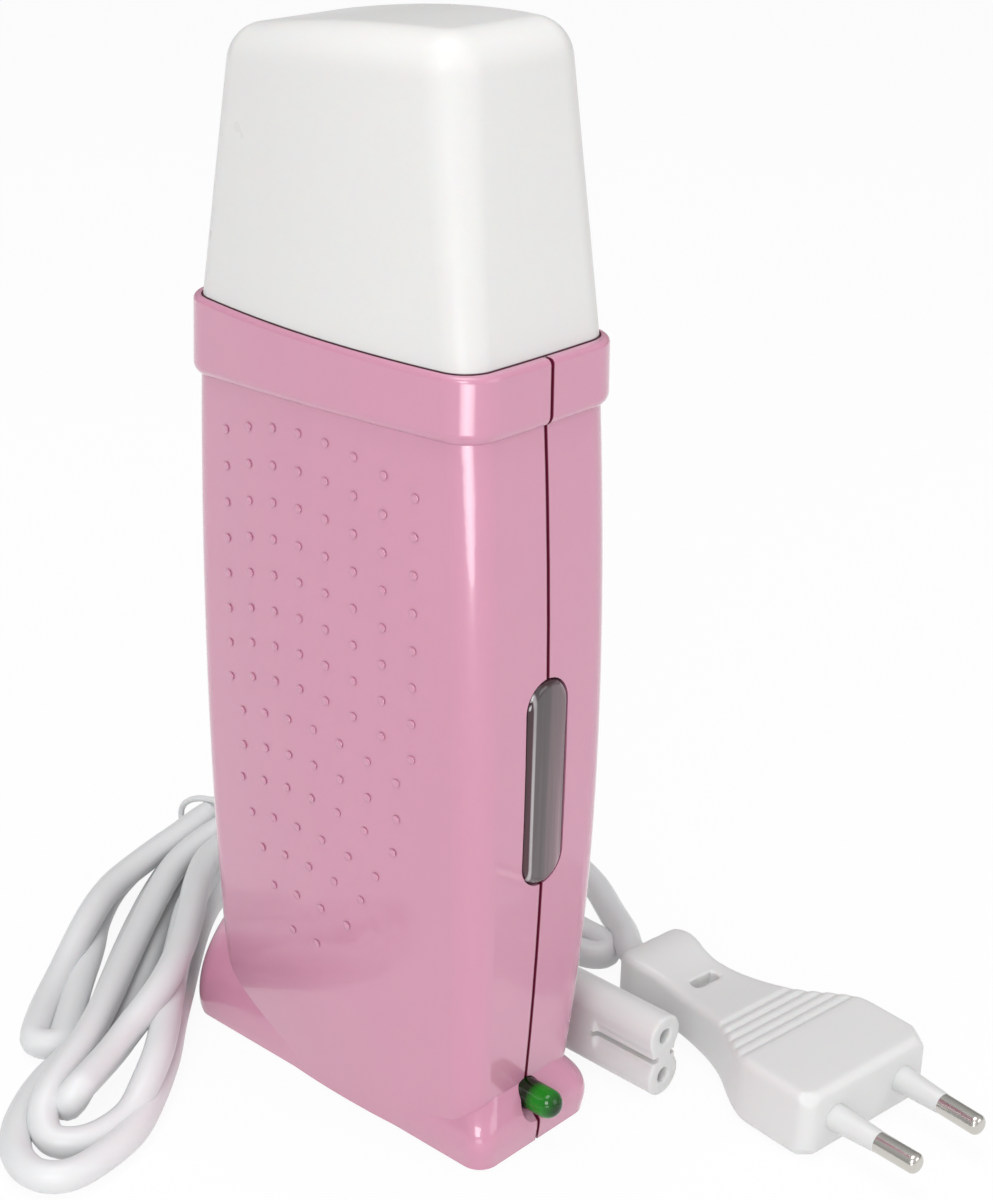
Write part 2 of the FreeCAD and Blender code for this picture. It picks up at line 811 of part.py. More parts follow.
# ---------------------------------------------------------------- cartridge and well


def bottle_half(z):
    """Half thickness and half width of the bottle at a height."""
    span = size("bottle_top") - size("bottle_bottom")
    flare = size("bottle_flare") * (z - size("bottle_bottom")) / span
    return size("bottle_half_thick") + flare, size("bottle_half_wide") + flare


def bottle_loft(grow, bottom, top):
    wires = []
    for z in (bottom, top):
        half_thick, half_wide = bottle_half(z)
        wires.append(even_outline(half_thick + grow, half_wide + grow, 1.6, 0.3,
                                  size("bottle_corner") + grow, z))
    return loft(wires)


def neck(grow, bottom, top):
    return prism(even_outline(size("neck_half_thick") + grow,
                              size("neck_half_wide") + grow, 1.0, 0.3, 5.0 + grow,
                              bottom), top - bottom)


def bottle_solid():
    """Flat bottle, open at its neck."""
    thick = size("bottle_wall")
    low, high = size("bottle_bottom"), size("bottle_top")
    neck_top = high + size("neck_height")
    outer = bottle_loft(0, low, high)
    edges = [edge for edge in outer.Edges if edge.BoundBox.ZMax < low + 0.01]
    outer = outer.makeFillet(2.0, edges)
    outer = outer.fuse(neck(0, high - 0.5, neck_top))
    inner = bottle_loft(-thick, low + thick, high - thick)
    inner = inner.fuse(neck(-thick, high - thick - 0.5, neck_top + 1))
    return outer.cut(inner)


def well_solid():
    """Metal sleeve round the bottle, slotted in front of the window, with a top rim."""
    play, thick = size("well_play"), size("well_wall")
    low = size("bottle_bottom") - play
    rim_top = size("head_bottom") - 0.3
    outer = bottle_loft(play + thick, low - thick, rim_top)
    rim_low = rim_top - size("well_rim_thick")
    rim = prism(even_outline(
        body_half_thick(rim_low) - wall - 0.3, size("half_wide_high") - wall - 0.3,
        size("side_bulge"), size("front_bulge"), size("body_corner") - wall, rim_low),
        size("well_rim_thick"))
    hollow = bottle_loft(play, low, rim_top + 1)
    slot = prism(obround(size("window_height") / 2 - 1, 4.5, 0), 20)
    slot.rotate(Vector(), Vector(0, 0, 1), 90)
    slot = facing_front(slot, -12, size("window_middle"))
    return outer.fuse(rim).cut([hollow, slot])


def head_solid():
    """Roller head: a tub for the roller over a socket that grips the neck."""
    low, high = size("head_bottom"), size("head_top")
    draft = size("head_draft") * (high - low)
    wires = []
    for z, drawn in ((low, 0.0), ((low + high) / 2, 0.4 * draft), (high, draft)):
        wires.append(even_outline(size("head_half_thick") - drawn,
                                  size("head_half_wide") - drawn, 1.2, 0.4, 6.0, z))
    tub = loft(wires)
    play = size("roller_play")
    half_length = size("roller_length") / 2 + play
    axis = Vector(0, 1, 0)
    bowl = Part.makeCylinder(size("roller_radius") + play, 2 * half_length,
                             Vector(0, -half_length, size("roller_centre")), axis)
    bearing = Part.makeCylinder(
        size("trunnion_radius") + size("bearing_play"),
        2 * (half_length + size("trunnion_length")),
        Vector(0, -half_length - size("trunnion_length"), size("roller_centre")), axis)
    neck_top = size("bottle_top") + size("neck_height")
    socket = neck(0.1, low - 1, neck_top + 0.3)
    channel = block(-3.0, 3.0, -15.0, 15.0, neck_top, size("roller_centre"))
    return tub.cut([bowl, bearing, socket, channel])


keep("heating_well", well_solid())
keep("cartridge_bottle", bottle_solid())
gap = 0.15
keep("wax_fill", bottle_loft(-size("bottle_wall") - gap,
                             size("bottle_bottom") + size("bottle_wall") + gap,
                             size("wax_level")))
keep("roller_head", head_solid())

roller = turned("roller_body", [
    ("0", "0"),
    ("Sizes.trunnion_radius", "0"),
    ("Sizes.trunnion_radius", "Sizes.trunnion_length"),
    ("Sizes.roller_radius - 0.8", "Sizes.trunnion_length"),
    ("Sizes.roller_radius", "Sizes.trunnion_length + 0.8"),
    ("Sizes.roller_radius", "Sizes.trunnion_length + Sizes.roller_length - 0.8"),
    ("Sizes.roller_radius - 0.8", "Sizes.trunnion_length + Sizes.roller_length"),
    ("Sizes.trunnion_radius", "Sizes.trunnion_length + Sizes.roller_length"),
    ("Sizes.trunnion_radius", "2 * Sizes.trunnion_length + Sizes.roller_length"),
    ("0", "2 * Sizes.trunnion_length + Sizes.roller_length"),
])
place(roller, y="Sizes.roller_length / 2 + Sizes.trunnion_length",
      z="Sizes.roller_centre", rotation=forward)
node(roller, "wax_roller")

# ---------------------------------------------------------------- heating parts


def well_back(z):
    """Outer face of the well's back wall at a height."""
    return bottle_half(z)[1] + size("well_play") + size("well_wall")


heater_y = well_back(size("heater_bottom") + size("heater_height")) + size("seat_play")
heater_z0 = size("heater_bottom")
heater_z1 = heater_z0 + size("heater_height")
heater = block(-size("heater_width") / 2, size("heater_width") / 2, heater_y,
               heater_y + size("heater_thick"), heater_z0, heater_z1)
heater_edges = [edge for edge in heater.Edges
                if abs(edge.BoundBox.ZMax - edge.BoundBox.ZMin) > 1]
keep("heating_element", heater.makeFillet(1.2, heater_edges))


def spring_solid():
    """Bowed leaf between the heating element and the back of the housing."""
    thick = size("spring_thick")
    foot = heater_y + size("heater_thick")
    crest = body_back((heater_z0 + heater_z1) / 2) - wall - 0.1
    half = size("heater_height") / 2 - 3
    middle = (heater_z0 + heater_z1) / 2
    ends = [Vector(-4, foot, middle - half), Vector(-4, foot, middle + half)]
    inner_crest = Vector(-4, crest - thick, middle)
    outer_crest = Vector(-4, crest, middle)
    lifted = [Vector(-4, foot + thick, middle - half), Vector(-4, foot + thick, middle + half)]
    edges = [
        Part.Arc(ends[0], inner_crest, ends[1]).toShape(),
        Part.LineSegment(ends[1], lifted[1]).toShape(),
        Part.Arc(lifted[1], outer_crest, lifted[0]).toShape(),
        Part.LineSegment(lifted[0], ends[0]).toShape(),
    ]
    return Part.Face(Part.Wire(edges)).extrude(Vector(8, 0, 0))


keep("clamp_spring", spring_solid())

side_x = size("circuit_half")
thermostat_z1 = size("thermostat_bottom") + size("thermostat_height")
thermostat_y = well_back(thermostat_z1) + size("seat_play")
thermostat = block(-side_x - size("thermostat_width") / 2,
                   -side_x + size("thermostat_width") / 2,
                   thermostat_y, thermostat_y + size("thermostat_thick"),
                   size("thermostat_bottom"), thermostat_z1)
keep("thermostat", thermostat.makeFillet(0.8, thermostat.Edges))

fuse_r = size("fuse_radius")
fuse_z0 = size("fuse_bottom")
fuse_z1 = fuse_z0 + size("fuse_height")
fuse_y = well_back(fuse_z1) + size("seat_play") + fuse_r
stub = size("fuse_stub")
fuse_body = Part.makeCylinder(fuse_r, fuse_z1 - fuse_z0, Vector(side_x, fuse_y, fuse_z0))
fuse_body = fuse_body.makeFillet(0.6, [edge for edge in fuse_body.Edges if edge.Closed])
fuse_stubs = Part.makeCylinder(0.5, fuse_z1 - fuse_z0 + 2 * stub,
                               Vector(side_x, fuse_y, fuse_z0 - stub))
keep("thermal_fuse", fuse_body.fuse(fuse_stubs))

# live runs through the fuse, the element and the thermostat back to neutral
wire_r = size("wire_radius")
pin_end = size("inlet_face") - size("inlet_depth") - size("pin_tail")
lead_y = thermostat_y + size("thermostat_thick") / 2


def feed_route(x, y, end):
    """From an inlet pin's tail, round and up the well's back."""
    level = size("inlet_axis")
    return [Vector(x, pin_end, level), Vector(x, pin_end - 4.5, level),
            Vector(x, pin_end - 3.0, level + 9.0), Vector(x, y, level + 20.0),
            Vector(x, y, end)]


keep("live_wire", tube("live_wire", feed_route(side_x, fuse_y, fuse_z0 - stub), wire_r))
keep("neutral_wire", tube("neutral_wire", feed_route(
    -side_x, lead_y, size("thermostat_bottom")), wire_r))
keep("element_leads", Part.makeCompound([
    Part.makeCylinder(wire_r, heater_z0 - fuse_z1 - stub,
                      Vector(side_x, fuse_y, fuse_z1 + stub)),
    Part.makeCylinder(wire_r, heater_z0 - thermostat_z1,
                      Vector(-side_x, lead_y, thermostat_z1))]))

# ---------------------------------------------------------------- screws


def screw_solid(y, z):
    """Pan-head screw with a cross recess, driven along -X."""
    seat = size("boss_seat")
    shank = rod(size("screw_shank"), seat - size("screw_length"), seat, y, z)
    tip = Part.makeCone(0.4, size("screw_shank"), 1.2,
                        Vector(seat - size("screw_length") - 1.2, y, z), Vector(1, 0, 0))
    head = rod(size("screw_head"), seat, seat + size("screw_head_thick"), y, z)
    rims = [edge for edge in head.Edges if edge.BoundBox.XMin > seat + 0.5]
    head = head.makeFillet(0.7, rims)
    top = seat + size("screw_head_thick")
    cross = block(top - 1.0, top + 1, y - 0.35, y + 0.35, z - 1.5, z + 1.5)
    cross = cross.fuse(block(top - 1.0, top + 1, y - 1.5, y + 1.5, z - 0.35, z + 0.35))
    return shank.fuse([tip, head]).cut(cross)


keep("shell_screws", Part.makeCompound([screw_solid(y, z) for y, z in boss_axes]))

# ---------------------------------------------------------------- cord set

cord_r = size("cord_radius")

# the plug lies flat with its pins pointing forward; local x runs from tail to pins
plug_place = Placement(Vector(51.6, -21.0, 0), Rotation(Vector(0, 0, 1), -96))


def plug_solid():
    """Flat two-pin plug: a waisted grip between a flared tail and a wide face."""
    length = size("plug_length")
    half = size("plug_half_width")
    high = size("plug_height")
    stations = [(0.0, 0.45), (0.07, 0.51), (0.15, 0.45), (0.26, 0.45), (0.40, 0.52),
                (0.53, 0.66), (0.63, 0.86), (0.70, 0.97), (0.76, 1.0)]
    upper = [Vector(share * length, wide * half, 0) for share, wide in stations]
    lower = [Vector(p.x, -p.y, 0) for p in reversed(upper)]
    face = [Vector(length, half, 0), Vector(length, -half, 0)]

    def curve(points):
        spline = Part.BSplineCurve()
        spline.interpolate(points)
        return spline.toShape()

    plan = Part.Wire([
        curve(upper),
        Part.LineSegment(upper[-1], face[0]).toShape(),
        Part.LineSegment(face[0], face[1]).toShape(),
        Part.LineSegment(face[1], lower[0]).toShape(),
        curve(lower),
        Part.LineSegment(lower[-1], upper[0]).toShape(),
    ])
    slab = prism(plan, high)
    tops = [(0.0, 0.92), (0.08, 0.94), (0.2, 0.84), (0.4, 0.84), (0.6, 0.94), (0.72, 1.0)]
    bases = [(0.72, 0.0), (0.6, 0.05), (0.4, 0.1), (0.2, 0.1), (0.08, 0.04), (0.0, 0.05)]
    top_line = [Vector(a * length, -40, b * high) for a, b in tops]
    base_line = [Vector(a * length, -40, b * high) for a, b in bases]
    face_top = Vector(length, -40, high)
    face_low = Vector(length, -40, 0)
    side = Part.Wire([
        curve(top_line),
        Part.LineSegment(top_line[-1], face_top).toShape(),
        Part.LineSegment(face_top, face_low).toShape(),
        Part.LineSegment(face_low, base_line[0]).toShape(),
        curve(base_line),
        Part.LineSegment(base_line[-1], top_line[0]).toShape(),
    ])
    solid = slab.common(Part.Face(side).extrude(Vector(0, 80, 0)))
    uprights = [edge for edge in solid.Edges if edge.BoundBox.XMin > length - 0.1
                and edge.BoundBox.ZLength > high / 2]
    solid = solid.makeFillet(size("plug_corner"), uprights)
    rims = [edge for edge in solid.Edges if edge.BoundBox.ZLength < high / 2
            and edge.BoundBox.XMax > 0.7 * length]
    solid = solid.makeFillet(size("plug_edge"), rims)
    cuts = []
    for i in range(5):
        x = 0.5 * length + 2.6 * i
        cuts.append(block(x, x + 1.2, -40, 40, high * (0.85 + 0.025 * i), high + 1))
    cuts.append(block(0.25 * length, 0.25 * length + 2.4, -3.2, 3.2, high * 0.55, high))
    for sign in (-1, 1):
        base, along = pin_axis(sign)
        cuts.append(Part.makeCylinder(size("plug_pin_radius") - 0.65, 12,
                                      base - along * 7, along))
    return solid.cut(cuts)


def pin_axis(sign):
    """Base point and direction of one plug pin."""
    base = Vector(size("plug_length"), sign * size("plug_pin_base") / 2,
                  size("plug_height") / 2)
    tip = Vector(size("plug_length") + size("plug_pin_length"),
                 sign * size("plug_pin_tip") / 2, size("plug_height") / 2)
    return base, (tip - base).normalize()


def pin_solid(sign):
    base, along = pin_axis(sign)
    radius = size("plug_pin_radius")
    bare = size("plug_pin_length") - size("sleeve_length")
    tip = Part.makeCylinder(radius, bare, base + along * size("sleeve_length"), along)
    end = [edge for edge in tip.Edges if edge.Closed
           and edge.BoundBox.XMin > size("plug_length") + size("plug_pin_length") - 1]
    tip = tip.makeFillet(1.2, end)
    core = Part.makeCylinder(radius - 0.75, size("sleeve_length") + 6, base - along * 6, along)
    return tip.fuse(core)


def sleeve_solid(sign):
    base, along = pin_axis(sign)
    radius = size("plug_pin_radius")
    outer = Part.makeCone(radius - 0.05, radius - 0.2, size("sleeve_length"), base, along)
    bore = Part.makeCylinder(radius - 0.7, size("sleeve_length") + 2, base - along, along)
    inside_plug = block(0, size("plug_length"), -30, 30, -1, 30)
    return outer.cut([bore, inside_plug])


def lay(label, shape, placement):
    """A cord-set piece moved to where it lies on the table."""
    feature = keep(label, shape)
    feature.Placement = placement
    return feature


lay("mains_plug", plug_solid(), plug_place)
lay("plug_pins", Part.makeCompound([pin_solid(s) for s in (-1, 1)]), plug_place)
lay("pin_sleeves", Part.makeCompound([sleeve_solid(s) for s in (-1, 1)]), plug_place)

# the appliance connector stands on its narrow edge beside the foot; local z is its axis
lobe = size("connector_lobe")
connector_half = lobe + size("pin_pitch") / 2
connector_end = Vector(27.2, 13.0, connector_half)
connector_place = Placement(connector_end, Rotation(Vector(0, 0, 1), 0)).multiply(
    Placement(Vector(), Rotation(Vector(1, 0, 0), 90))).multiply(
    Placement(Vector(), Rotation(Vector(0, 0, 1), 90)))


def connector_solid():
    """Figure-eight nose, smooth grip and a tapered strain relief."""
    relief = size("relief_length")
    total = relief + size("connector_length")
    nose = 14.0
    half_pitch = size("pin_pitch") / 2
    tail = [obround(cord_r + 1.4, cord_r + 1.0, 0.0),
            obround(cord_r + 2.4, cord_r + 1.1, relief * 0.6),
            obround(connector_half - 0.6, lobe - 0.2, relief),
            obround(connector_half, lobe, relief + 5.0)]
    solid = loft(tail)
    grip = prism(obround(connector_half, lobe, relief + 5.0),
                 total - nose - relief - 5.0)
    solid = solid.fuse(grip)
    lobes = [Part.makeCylinder(lobe, nose, Vector(s * half_pitch, 0, total - nose))
             for s in (-1, 1)]
    web = block(-half_pitch, half_pitch, -lobe + 1.0, lobe - 1.0, total - nose, total)
    solid = solid.fuse(lobes + [web])
    holes = []
    for s in (-1, 1):
        holes.append(Part.makeCylinder(1.5, 14, Vector(s * half_pitch, 0, total - 12)))
        holes.append(Part.makeCylinder(2.0, 9.0, Vector(s * half_pitch, 0, total - 12)))
    return solid.cut(holes)


def contact_solid(s):
    total = size("relief_length") + size("connector_length")
    at = Vector(s * size("pin_pitch") / 2, 0, total - 11.9)
    return Part.makeCylinder(1.9, 8.6, at).cut(Part.makeCylinder(1.25, 12, at))


lay("appliance_connector", connector_solid(), connector_place)
lay("connector_contacts", Part.makeCompound([contact_solid(s) for s in (-1, 1)]),
    connector_place)

# cord: plug lead, connector lead and the loosely folded bundle behind the heater
tail_level = size("plug_height") * 0.485
plug_route = [
    plug_place.multVec(Vector(0, 0, tail_level)),
    plug_place.multVec(Vector(-5.5, 0, tail_level)),
    Vector(59.0, -9.5, 5.2),
    Vector(65.5, 0.0, 3.6),
    Vector(72.5, 10.0, 3.0),
    Vector(76.5, 20.0, cord_r),
    Vector(78.0, 33.0, cord_r),
    Vector(76.0, 47.0, cord_r),
    Vector(69.0, 60.0, cord_r),
    Vector(57.0, 70.0, cord_r),
]
connector_route = [
    connector_end,
    connector_end + Vector(0, 8.0, 0),
    Vector(29.0, 31.0, 6.0),
    Vector(35.0, 40.0, 3.4),
    Vector(39.5, 50.0, cord_r),
    Vector(36.0, 60.0, cord_r),
]


def ring_prism(plan, height):
    """Upright solid with a smooth closed plan."""
    spline = Part.BSplineCurve()
    spline.interpolate([Vector(x, y, 0) for x, y in plan], PeriodicFlag=True)
    return prism(Part.Wire(spline.toShape()), height)


def hank_solid():
    """Outer form of the folded cord: flat fans of loops at both ends of a raised bundle."""
    fans = ring_prism([
        (83, 80), (78, 92), (62, 95), (44, 96), (28, 96), (13, 93), (0, 88), (-12, 81),
        (-24, 74.5), (-37, 66.5), (-48, 58.5), (-52.5, 50), (-60, 39.5), (-69, 32),
        (-75, 22), (-75, 11), (-66, 7), (-54, 9.5), (-41, 16.5), (-26, 29), (-12, 42),
        (2, 54), (16, 61), (30, 61), (40, 54), (43.5, 42), (43, 25), (42.5, 6), (43, -4),
        (50, -10), (57, -7.5), (60, 4), (62, 18), (65, 32), (65.5, 46), (62, 57), (70, 66)],
        size("fan_height"))
    bundle = ring_prism([
        (80, 76), (76, 84), (62, 89), (44, 92), (26, 92), (8, 85), (-10, 73), (-26, 62),
        (-44, 49), (-50, 41), (-44, 34), (-30, 38), (-14, 47), (2, 57), (16, 65),
        (32, 68), (46, 63), (54, 56), (60, 58), (62, 66), (74, 68)], size("bundle_height"))
    edge = size("hank_edge")
    fans = fans.makeFillet(edge, [e for e in fans.Edges if e.BoundBox.ZMin > 1])
    bundle = bundle.makeFillet(edge, [e for e in bundle.Edges if e.BoundBox.ZMin > 1])
    return fans.fuse(bundle)


hank = hank_solid()
keep("plug_lead", tube("plug_lead", plug_route, cord_r).cut(hank))
keep("connector_lead", tube("connector_lead", connector_route, cord_r).cut(hank))
keep("cord_hank", hank)

# ---------------------------------------------------------------- check and write

doc.recompute()
for item in doc.Objects:
    if "Invalid" in item.State or "Error" in item.State:
        raise RuntimeError(f"{item.Label} failed: {item.State}")
os.makedirs("parts", exist_ok=True)
for item in NODES:
    shape = item.Shape
    if shape.isNull() or not shape.isValid() or not shape.Solids:
        raise RuntimeError(f"{item.Label} has no valid solid")
    shape.exportStep(f"parts/{item.Label}.step")
    print(f"{item.Label}: {len(shape.Solids)} solid, {shape.Volume / 1000:.2f} cm3")
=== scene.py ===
"""Roll-on wax heater with its unplugged mains lead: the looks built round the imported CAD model."""

from math import cos, pi, radians, sin

import bpy
from mathutils import Matrix, Vector


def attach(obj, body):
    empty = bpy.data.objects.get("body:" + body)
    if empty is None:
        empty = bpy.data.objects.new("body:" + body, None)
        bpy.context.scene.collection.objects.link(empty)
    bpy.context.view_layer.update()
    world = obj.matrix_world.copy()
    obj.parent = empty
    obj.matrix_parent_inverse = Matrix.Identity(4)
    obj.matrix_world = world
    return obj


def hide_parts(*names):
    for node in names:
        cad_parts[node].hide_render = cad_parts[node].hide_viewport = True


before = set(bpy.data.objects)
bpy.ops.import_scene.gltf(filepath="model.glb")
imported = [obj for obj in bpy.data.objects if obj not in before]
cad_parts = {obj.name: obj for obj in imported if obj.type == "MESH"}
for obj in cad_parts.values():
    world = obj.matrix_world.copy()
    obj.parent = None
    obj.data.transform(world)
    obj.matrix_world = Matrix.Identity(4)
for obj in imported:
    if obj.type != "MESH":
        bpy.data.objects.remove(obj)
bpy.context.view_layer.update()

# ---- camera ----
# A short telephoto held in front of one corner of the heater and looking down on it.
eye = Vector((-0.26415, -0.26321, 0.25999))
target = Vector((0.01484, -0.01067, 0.09483))
roll = radians(1.51)
gaze = (target - eye).normalized()
horizon = gaze.cross(Vector((0, 0, 1))).normalized()
side = cos(roll) * horizon + sin(roll) * horizon.cross(gaze)
lens = bpy.data.cameras.new("camera")
lens.sensor_fit = "HORIZONTAL"
lens.sensor_width = 36.0
lens.lens = 83.69
lens.clip_start = 0.01
camera = bpy.data.objects.new("camera", lens)
bpy.context.scene.collection.objects.link(camera)
turn = Matrix((side, side.cross(gaze), -gaze)).transposed().to_4x4()
camera.matrix_world = Matrix.Translation(eye) @ turn
bpy.context.scene.camera = camera


# ---- housing halves ----
# Two drafted shells of glossy pink ABS that meet on the middle plane with a shadow gap, held
# by four screws driven from the right-hand side. The gap is painted dark as painted shade.

# A moulded, drawn or plated finish: it drifts a little in tone and gloss and carries a fine
# relief, and its pattern runs through the solid.
def surface(name, tone, drift=0.04, grain=60.0, gloss=(0.25, 0.35), relief=0.02, pores=900.0,
            **sockets):
    made = bpy.data.materials.new(name)
    made.use_nodes = True
    nodes, links = made.node_tree.nodes, made.node_tree.links
    shader = nodes["Principled BSDF"]
    place = nodes.new("ShaderNodeTexCoord").outputs["Object"]
    cloud = nodes.new("ShaderNodeTexNoise")
    cloud.inputs["Scale"].default_value = grain
    cloud.inputs["Detail"].default_value = 4
    links.new(place, cloud.inputs["Vector"])
    shade = nodes.new("ShaderNodeMix")
    shade.data_type = "RGBA"
    shade.inputs["A"].default_value = (*[c * (1 - drift) for c in tone], 1)
    shade.inputs["B"].default_value = (*[min(c * (1 + drift), 1) for c in tone], 1)
    links.new(cloud.outputs["Fac"], shade.inputs["Factor"])
    links.new(shade.outputs["Result"], shader.inputs["Base Color"])
    polish = nodes.new("ShaderNodeMapRange")
    polish.inputs["To Min"].default_value, polish.inputs["To Max"].default_value = gloss
    links.new(cloud.outputs["Fac"], polish.inputs["Value"])
    links.new(polish.outputs["Result"], shader.inputs["Roughness"])
    skin = nodes.new("ShaderNodeTexNoise")
    skin.inputs["Scale"].default_value = pores
    skin.inputs["Detail"].default_value = 2
    links.new(place, skin.inputs["Vector"])
    bump = nodes.new("ShaderNodeBump")
    bump.inputs["Strength"].default_value = relief
    bump.inputs["Distance"].default_value = 0.0004
    links.new(skin.outputs["Fac"], bump.inputs["Height"])
    links.new(bump.outputs["Normal"], shader.inputs["Normal"])
    for socket, amount in sockets.items():
        shader.inputs[socket.replace("_", " ")].default_value = amount
    return made


pink = surface("pink_gloss", (0.565, 0.250, 0.360), drift=0.025, grain=45,
               gloss=(0.17, 0.24), relief=0.012, pores=1400, Coat_Weight=0.7,
               Coat_Roughness=0.06, Subsurface_Weight=0.06, Subsurface_Scale=0.002)


# Painted shade: a finish that turns to a darker tone towards a plane across one axis, wholly at
# `near` from it, not at all at `far`.
def paint_shade(finish, axis, near, far, tone, about=0.0):
    nodes, links = finish.node_tree.nodes, finish.node_tree.links
    shader = nodes["Principled BSDF"]
    before = shader.inputs["Base Color"].links[0].from_socket
    where = nodes.new("ShaderNodeSeparateXYZ")
    links.new(nodes.new("ShaderNodeTexCoord").outputs["Object"], where.inputs[0])
    off = nodes.new("ShaderNodeMath")
    off.operation = "SUBTRACT"
    off.inputs[1].default_value = about
    links.new(where.outputs[axis], off.inputs[0])
    away = nodes.new("ShaderNodeMath")
    away.operation = "ABSOLUTE"
    links.new(off.outputs[0], away.inputs[0])
    depth = nodes.new("ShaderNodeMapRange")
    depth.inputs["From Min"].default_value = near
    depth.inputs["From Max"].default_value = far
    depth.inputs["To Min"].default_value = 1.0
    depth.inputs["To Max"].default_value = 0.0
    links.new(away.outputs[0], depth.inputs["Value"])
    dim = nodes.new("ShaderNodeMix")
    dim.data_type = "RGBA"
    dim.inputs["B"].default_value = (*tone, 1)
    links.new(before, dim.inputs["A"])
    links.new(depth.outputs["Result"], dim.inputs["Factor"])
    links.new(dim.outputs["Result"], shader.inputs["Base Color"])


def dress(node, finish):
    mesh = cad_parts[node].data
    mesh.materials.clear()
    mesh.materials.append(finish)


# Painted shade: the seam gap and the shell edges within half a millimetre of the middle plane are
# coloured dark maroon.
seam_shade_full, seam_shade_none, seam_shade_tone = 0.00040, 0.00048, (0.17, 0.012, 0.045)
shell_pink_seam_shade = pink.copy()
shell_pink_seam_shade.name = "pink_gloss_seam_shade"
paint_shade(shell_pink_seam_shade, "X", seam_shade_full, seam_shade_none, seam_shade_tone)
dress("left_shell", shell_pink_seam_shade)
dress("right_shell", shell_pink_seam_shade)


# ---- cap ----
# A milky polypropylene hood with a crowned top that falls towards the back. It lifts off,
# and a thin shadow line is painted all round it at the height of the collar's rim.
milky = surface("milky_cap", (0.705, 0.70, 0.69), drift=0.012, grain=30, gloss=(0.24, 0.32),
                relief=0.01, pores=700, Specular_IOR_Level=0.2,
                Subsurface_Weight=0.15, Subsurface_Scale=0.003)
# Painted shadow: a thin dark band round the cap at the collar's rim height.
collar_rim, rim_shadow_full, rim_shadow_none, rim_shadow_tone = 0.1485, 0.00010, 0.00024, (0.10, 0.03, 0.05)
paint_shade(milky, "Z", rim_shadow_full, rim_shadow_none, rim_shadow_tone, about=collar_rim)
dress("cap", milky)


# ---- level window ----
# A smoked clear lens pressed into the front from inside, for seeing the wax level. Its colour
# carries a painted highlight line down one side and a painted reflection in bands and streaks.
smoke = surface("smoked_lens", (0.15, 0.11, 0.12), drift=0.10, grain=60, gloss=(0.05, 0.10),
                relief=0.004, pores=500, Transmission_Weight=0.12, IOR=1.49, Coat_Weight=0.4,
                Coat_Roughness=0.04)
window_half, window_middle, window_reach = 0.005, 0.0733, 0.0195
# Heights between which the lens's painted reflection grows lighter towards the bottom.
reflection_dim_from, reflection_bright_at = 0.092, 0.055
# Dark maroon painted shade for the lens's edges.
slot_shade_maroon = (0.045, 0.010, 0.018)
nodes, links = smoke.node_tree.nodes, smoke.node_tree.links
place = nodes.new("ShaderNodeTexCoord").outputs["Object"]
split = nodes.new("ShaderNodeSeparateXYZ")
links.new(place, split.inputs[0])
width_share = nodes.new("ShaderNodeMapRange")
width_share.inputs["From Min"].default_value = -window_half
width_share.inputs["From Max"].default_value = window_half
links.new(split.outputs["X"], width_share.inputs["Value"])
# Painted light across the lens: painted shade at both sides, a pale painted highlight line near the
# -X edge, a dark band, then a lighter mauve painted reflection towards +X.
tint = nodes.new("ShaderNodeValToRGB")
bands = tint.color_ramp.elements
bands[0].position, bands[0].color = 0.02, (*slot_shade_maroon, 1)
bands[1].position, bands[1].color = 0.98, (*slot_shade_maroon, 1)
for spot, colour in ((0.09, slot_shade_maroon), (0.11, (0.36, 0.33, 0.34)),
                     (0.15, (0.38, 0.35, 0.36)), (0.18, (0.07, 0.052, 0.056)),
                     (0.48, (0.075, 0.056, 0.060)), (0.54, (0.115, 0.080, 0.088)),
                     (0.72, (0.15, 0.100, 0.113)), (0.86, (0.24, 0.155, 0.180)),
                     (0.91, slot_shade_maroon)):
    bands.new(spot).color = (*colour, 1)
links.new(width_share.outputs["Result"], tint.inputs["Fac"])
# Fine streaks running down the lens, painted as part of the reflection.
stretch = nodes.new("ShaderNodeMapping")
stretch.inputs["Scale"].default_value = (1, 1, 0.035)
links.new(place, stretch.inputs["Vector"])
streak = nodes.new("ShaderNodeTexNoise")
streak.inputs["Scale"].default_value = 1100
streak.inputs["Detail"].default_value = 3
links.new(stretch.outputs["Vector"], streak.inputs["Vector"])
# Painted reflection: the lens is painted lighter towards the bottom.
level = nodes.new("ShaderNodeMapRange")
level.inputs["From Min"].default_value = reflection_dim_from
level.inputs["From Max"].default_value = reflection_bright_at
level.inputs["To Min"].default_value = 0.88
level.inputs["To Max"].default_value = 1.35
links.new(split.outputs["Z"], level.inputs["Value"])
streak_gain = nodes.new("ShaderNodeMapRange")
streak_gain.inputs["To Min"].default_value = 0.55
streak_gain.inputs["To Max"].default_value = 1.45
links.new(streak.outputs["Fac"], streak_gain.inputs["Value"])
brightness = nodes.new("ShaderNodeMath")
brightness.operation = "MULTIPLY"
links.new(level.outputs["Result"], brightness.inputs[0])
links.new(streak_gain.outputs["Result"], brightness.inputs[1])
wash = nodes.new("ShaderNodeVectorMath")
wash.operation = "SCALE"
links.new(tint.outputs["Color"], wash.inputs[0])
links.new(brightness.outputs[0], wash.inputs["Scale"])
links.new(wash.outputs["Vector"], nodes["Principled BSDF"].inputs["Base Color"])
# Painted shade: the top and bottom ends of the lens turn dark maroon.
paint_shade(smoke, "Z", window_reach - 0.0005, window_reach - 0.0009, slot_shade_maroon, about=window_middle)
dress("level_window", smoke)


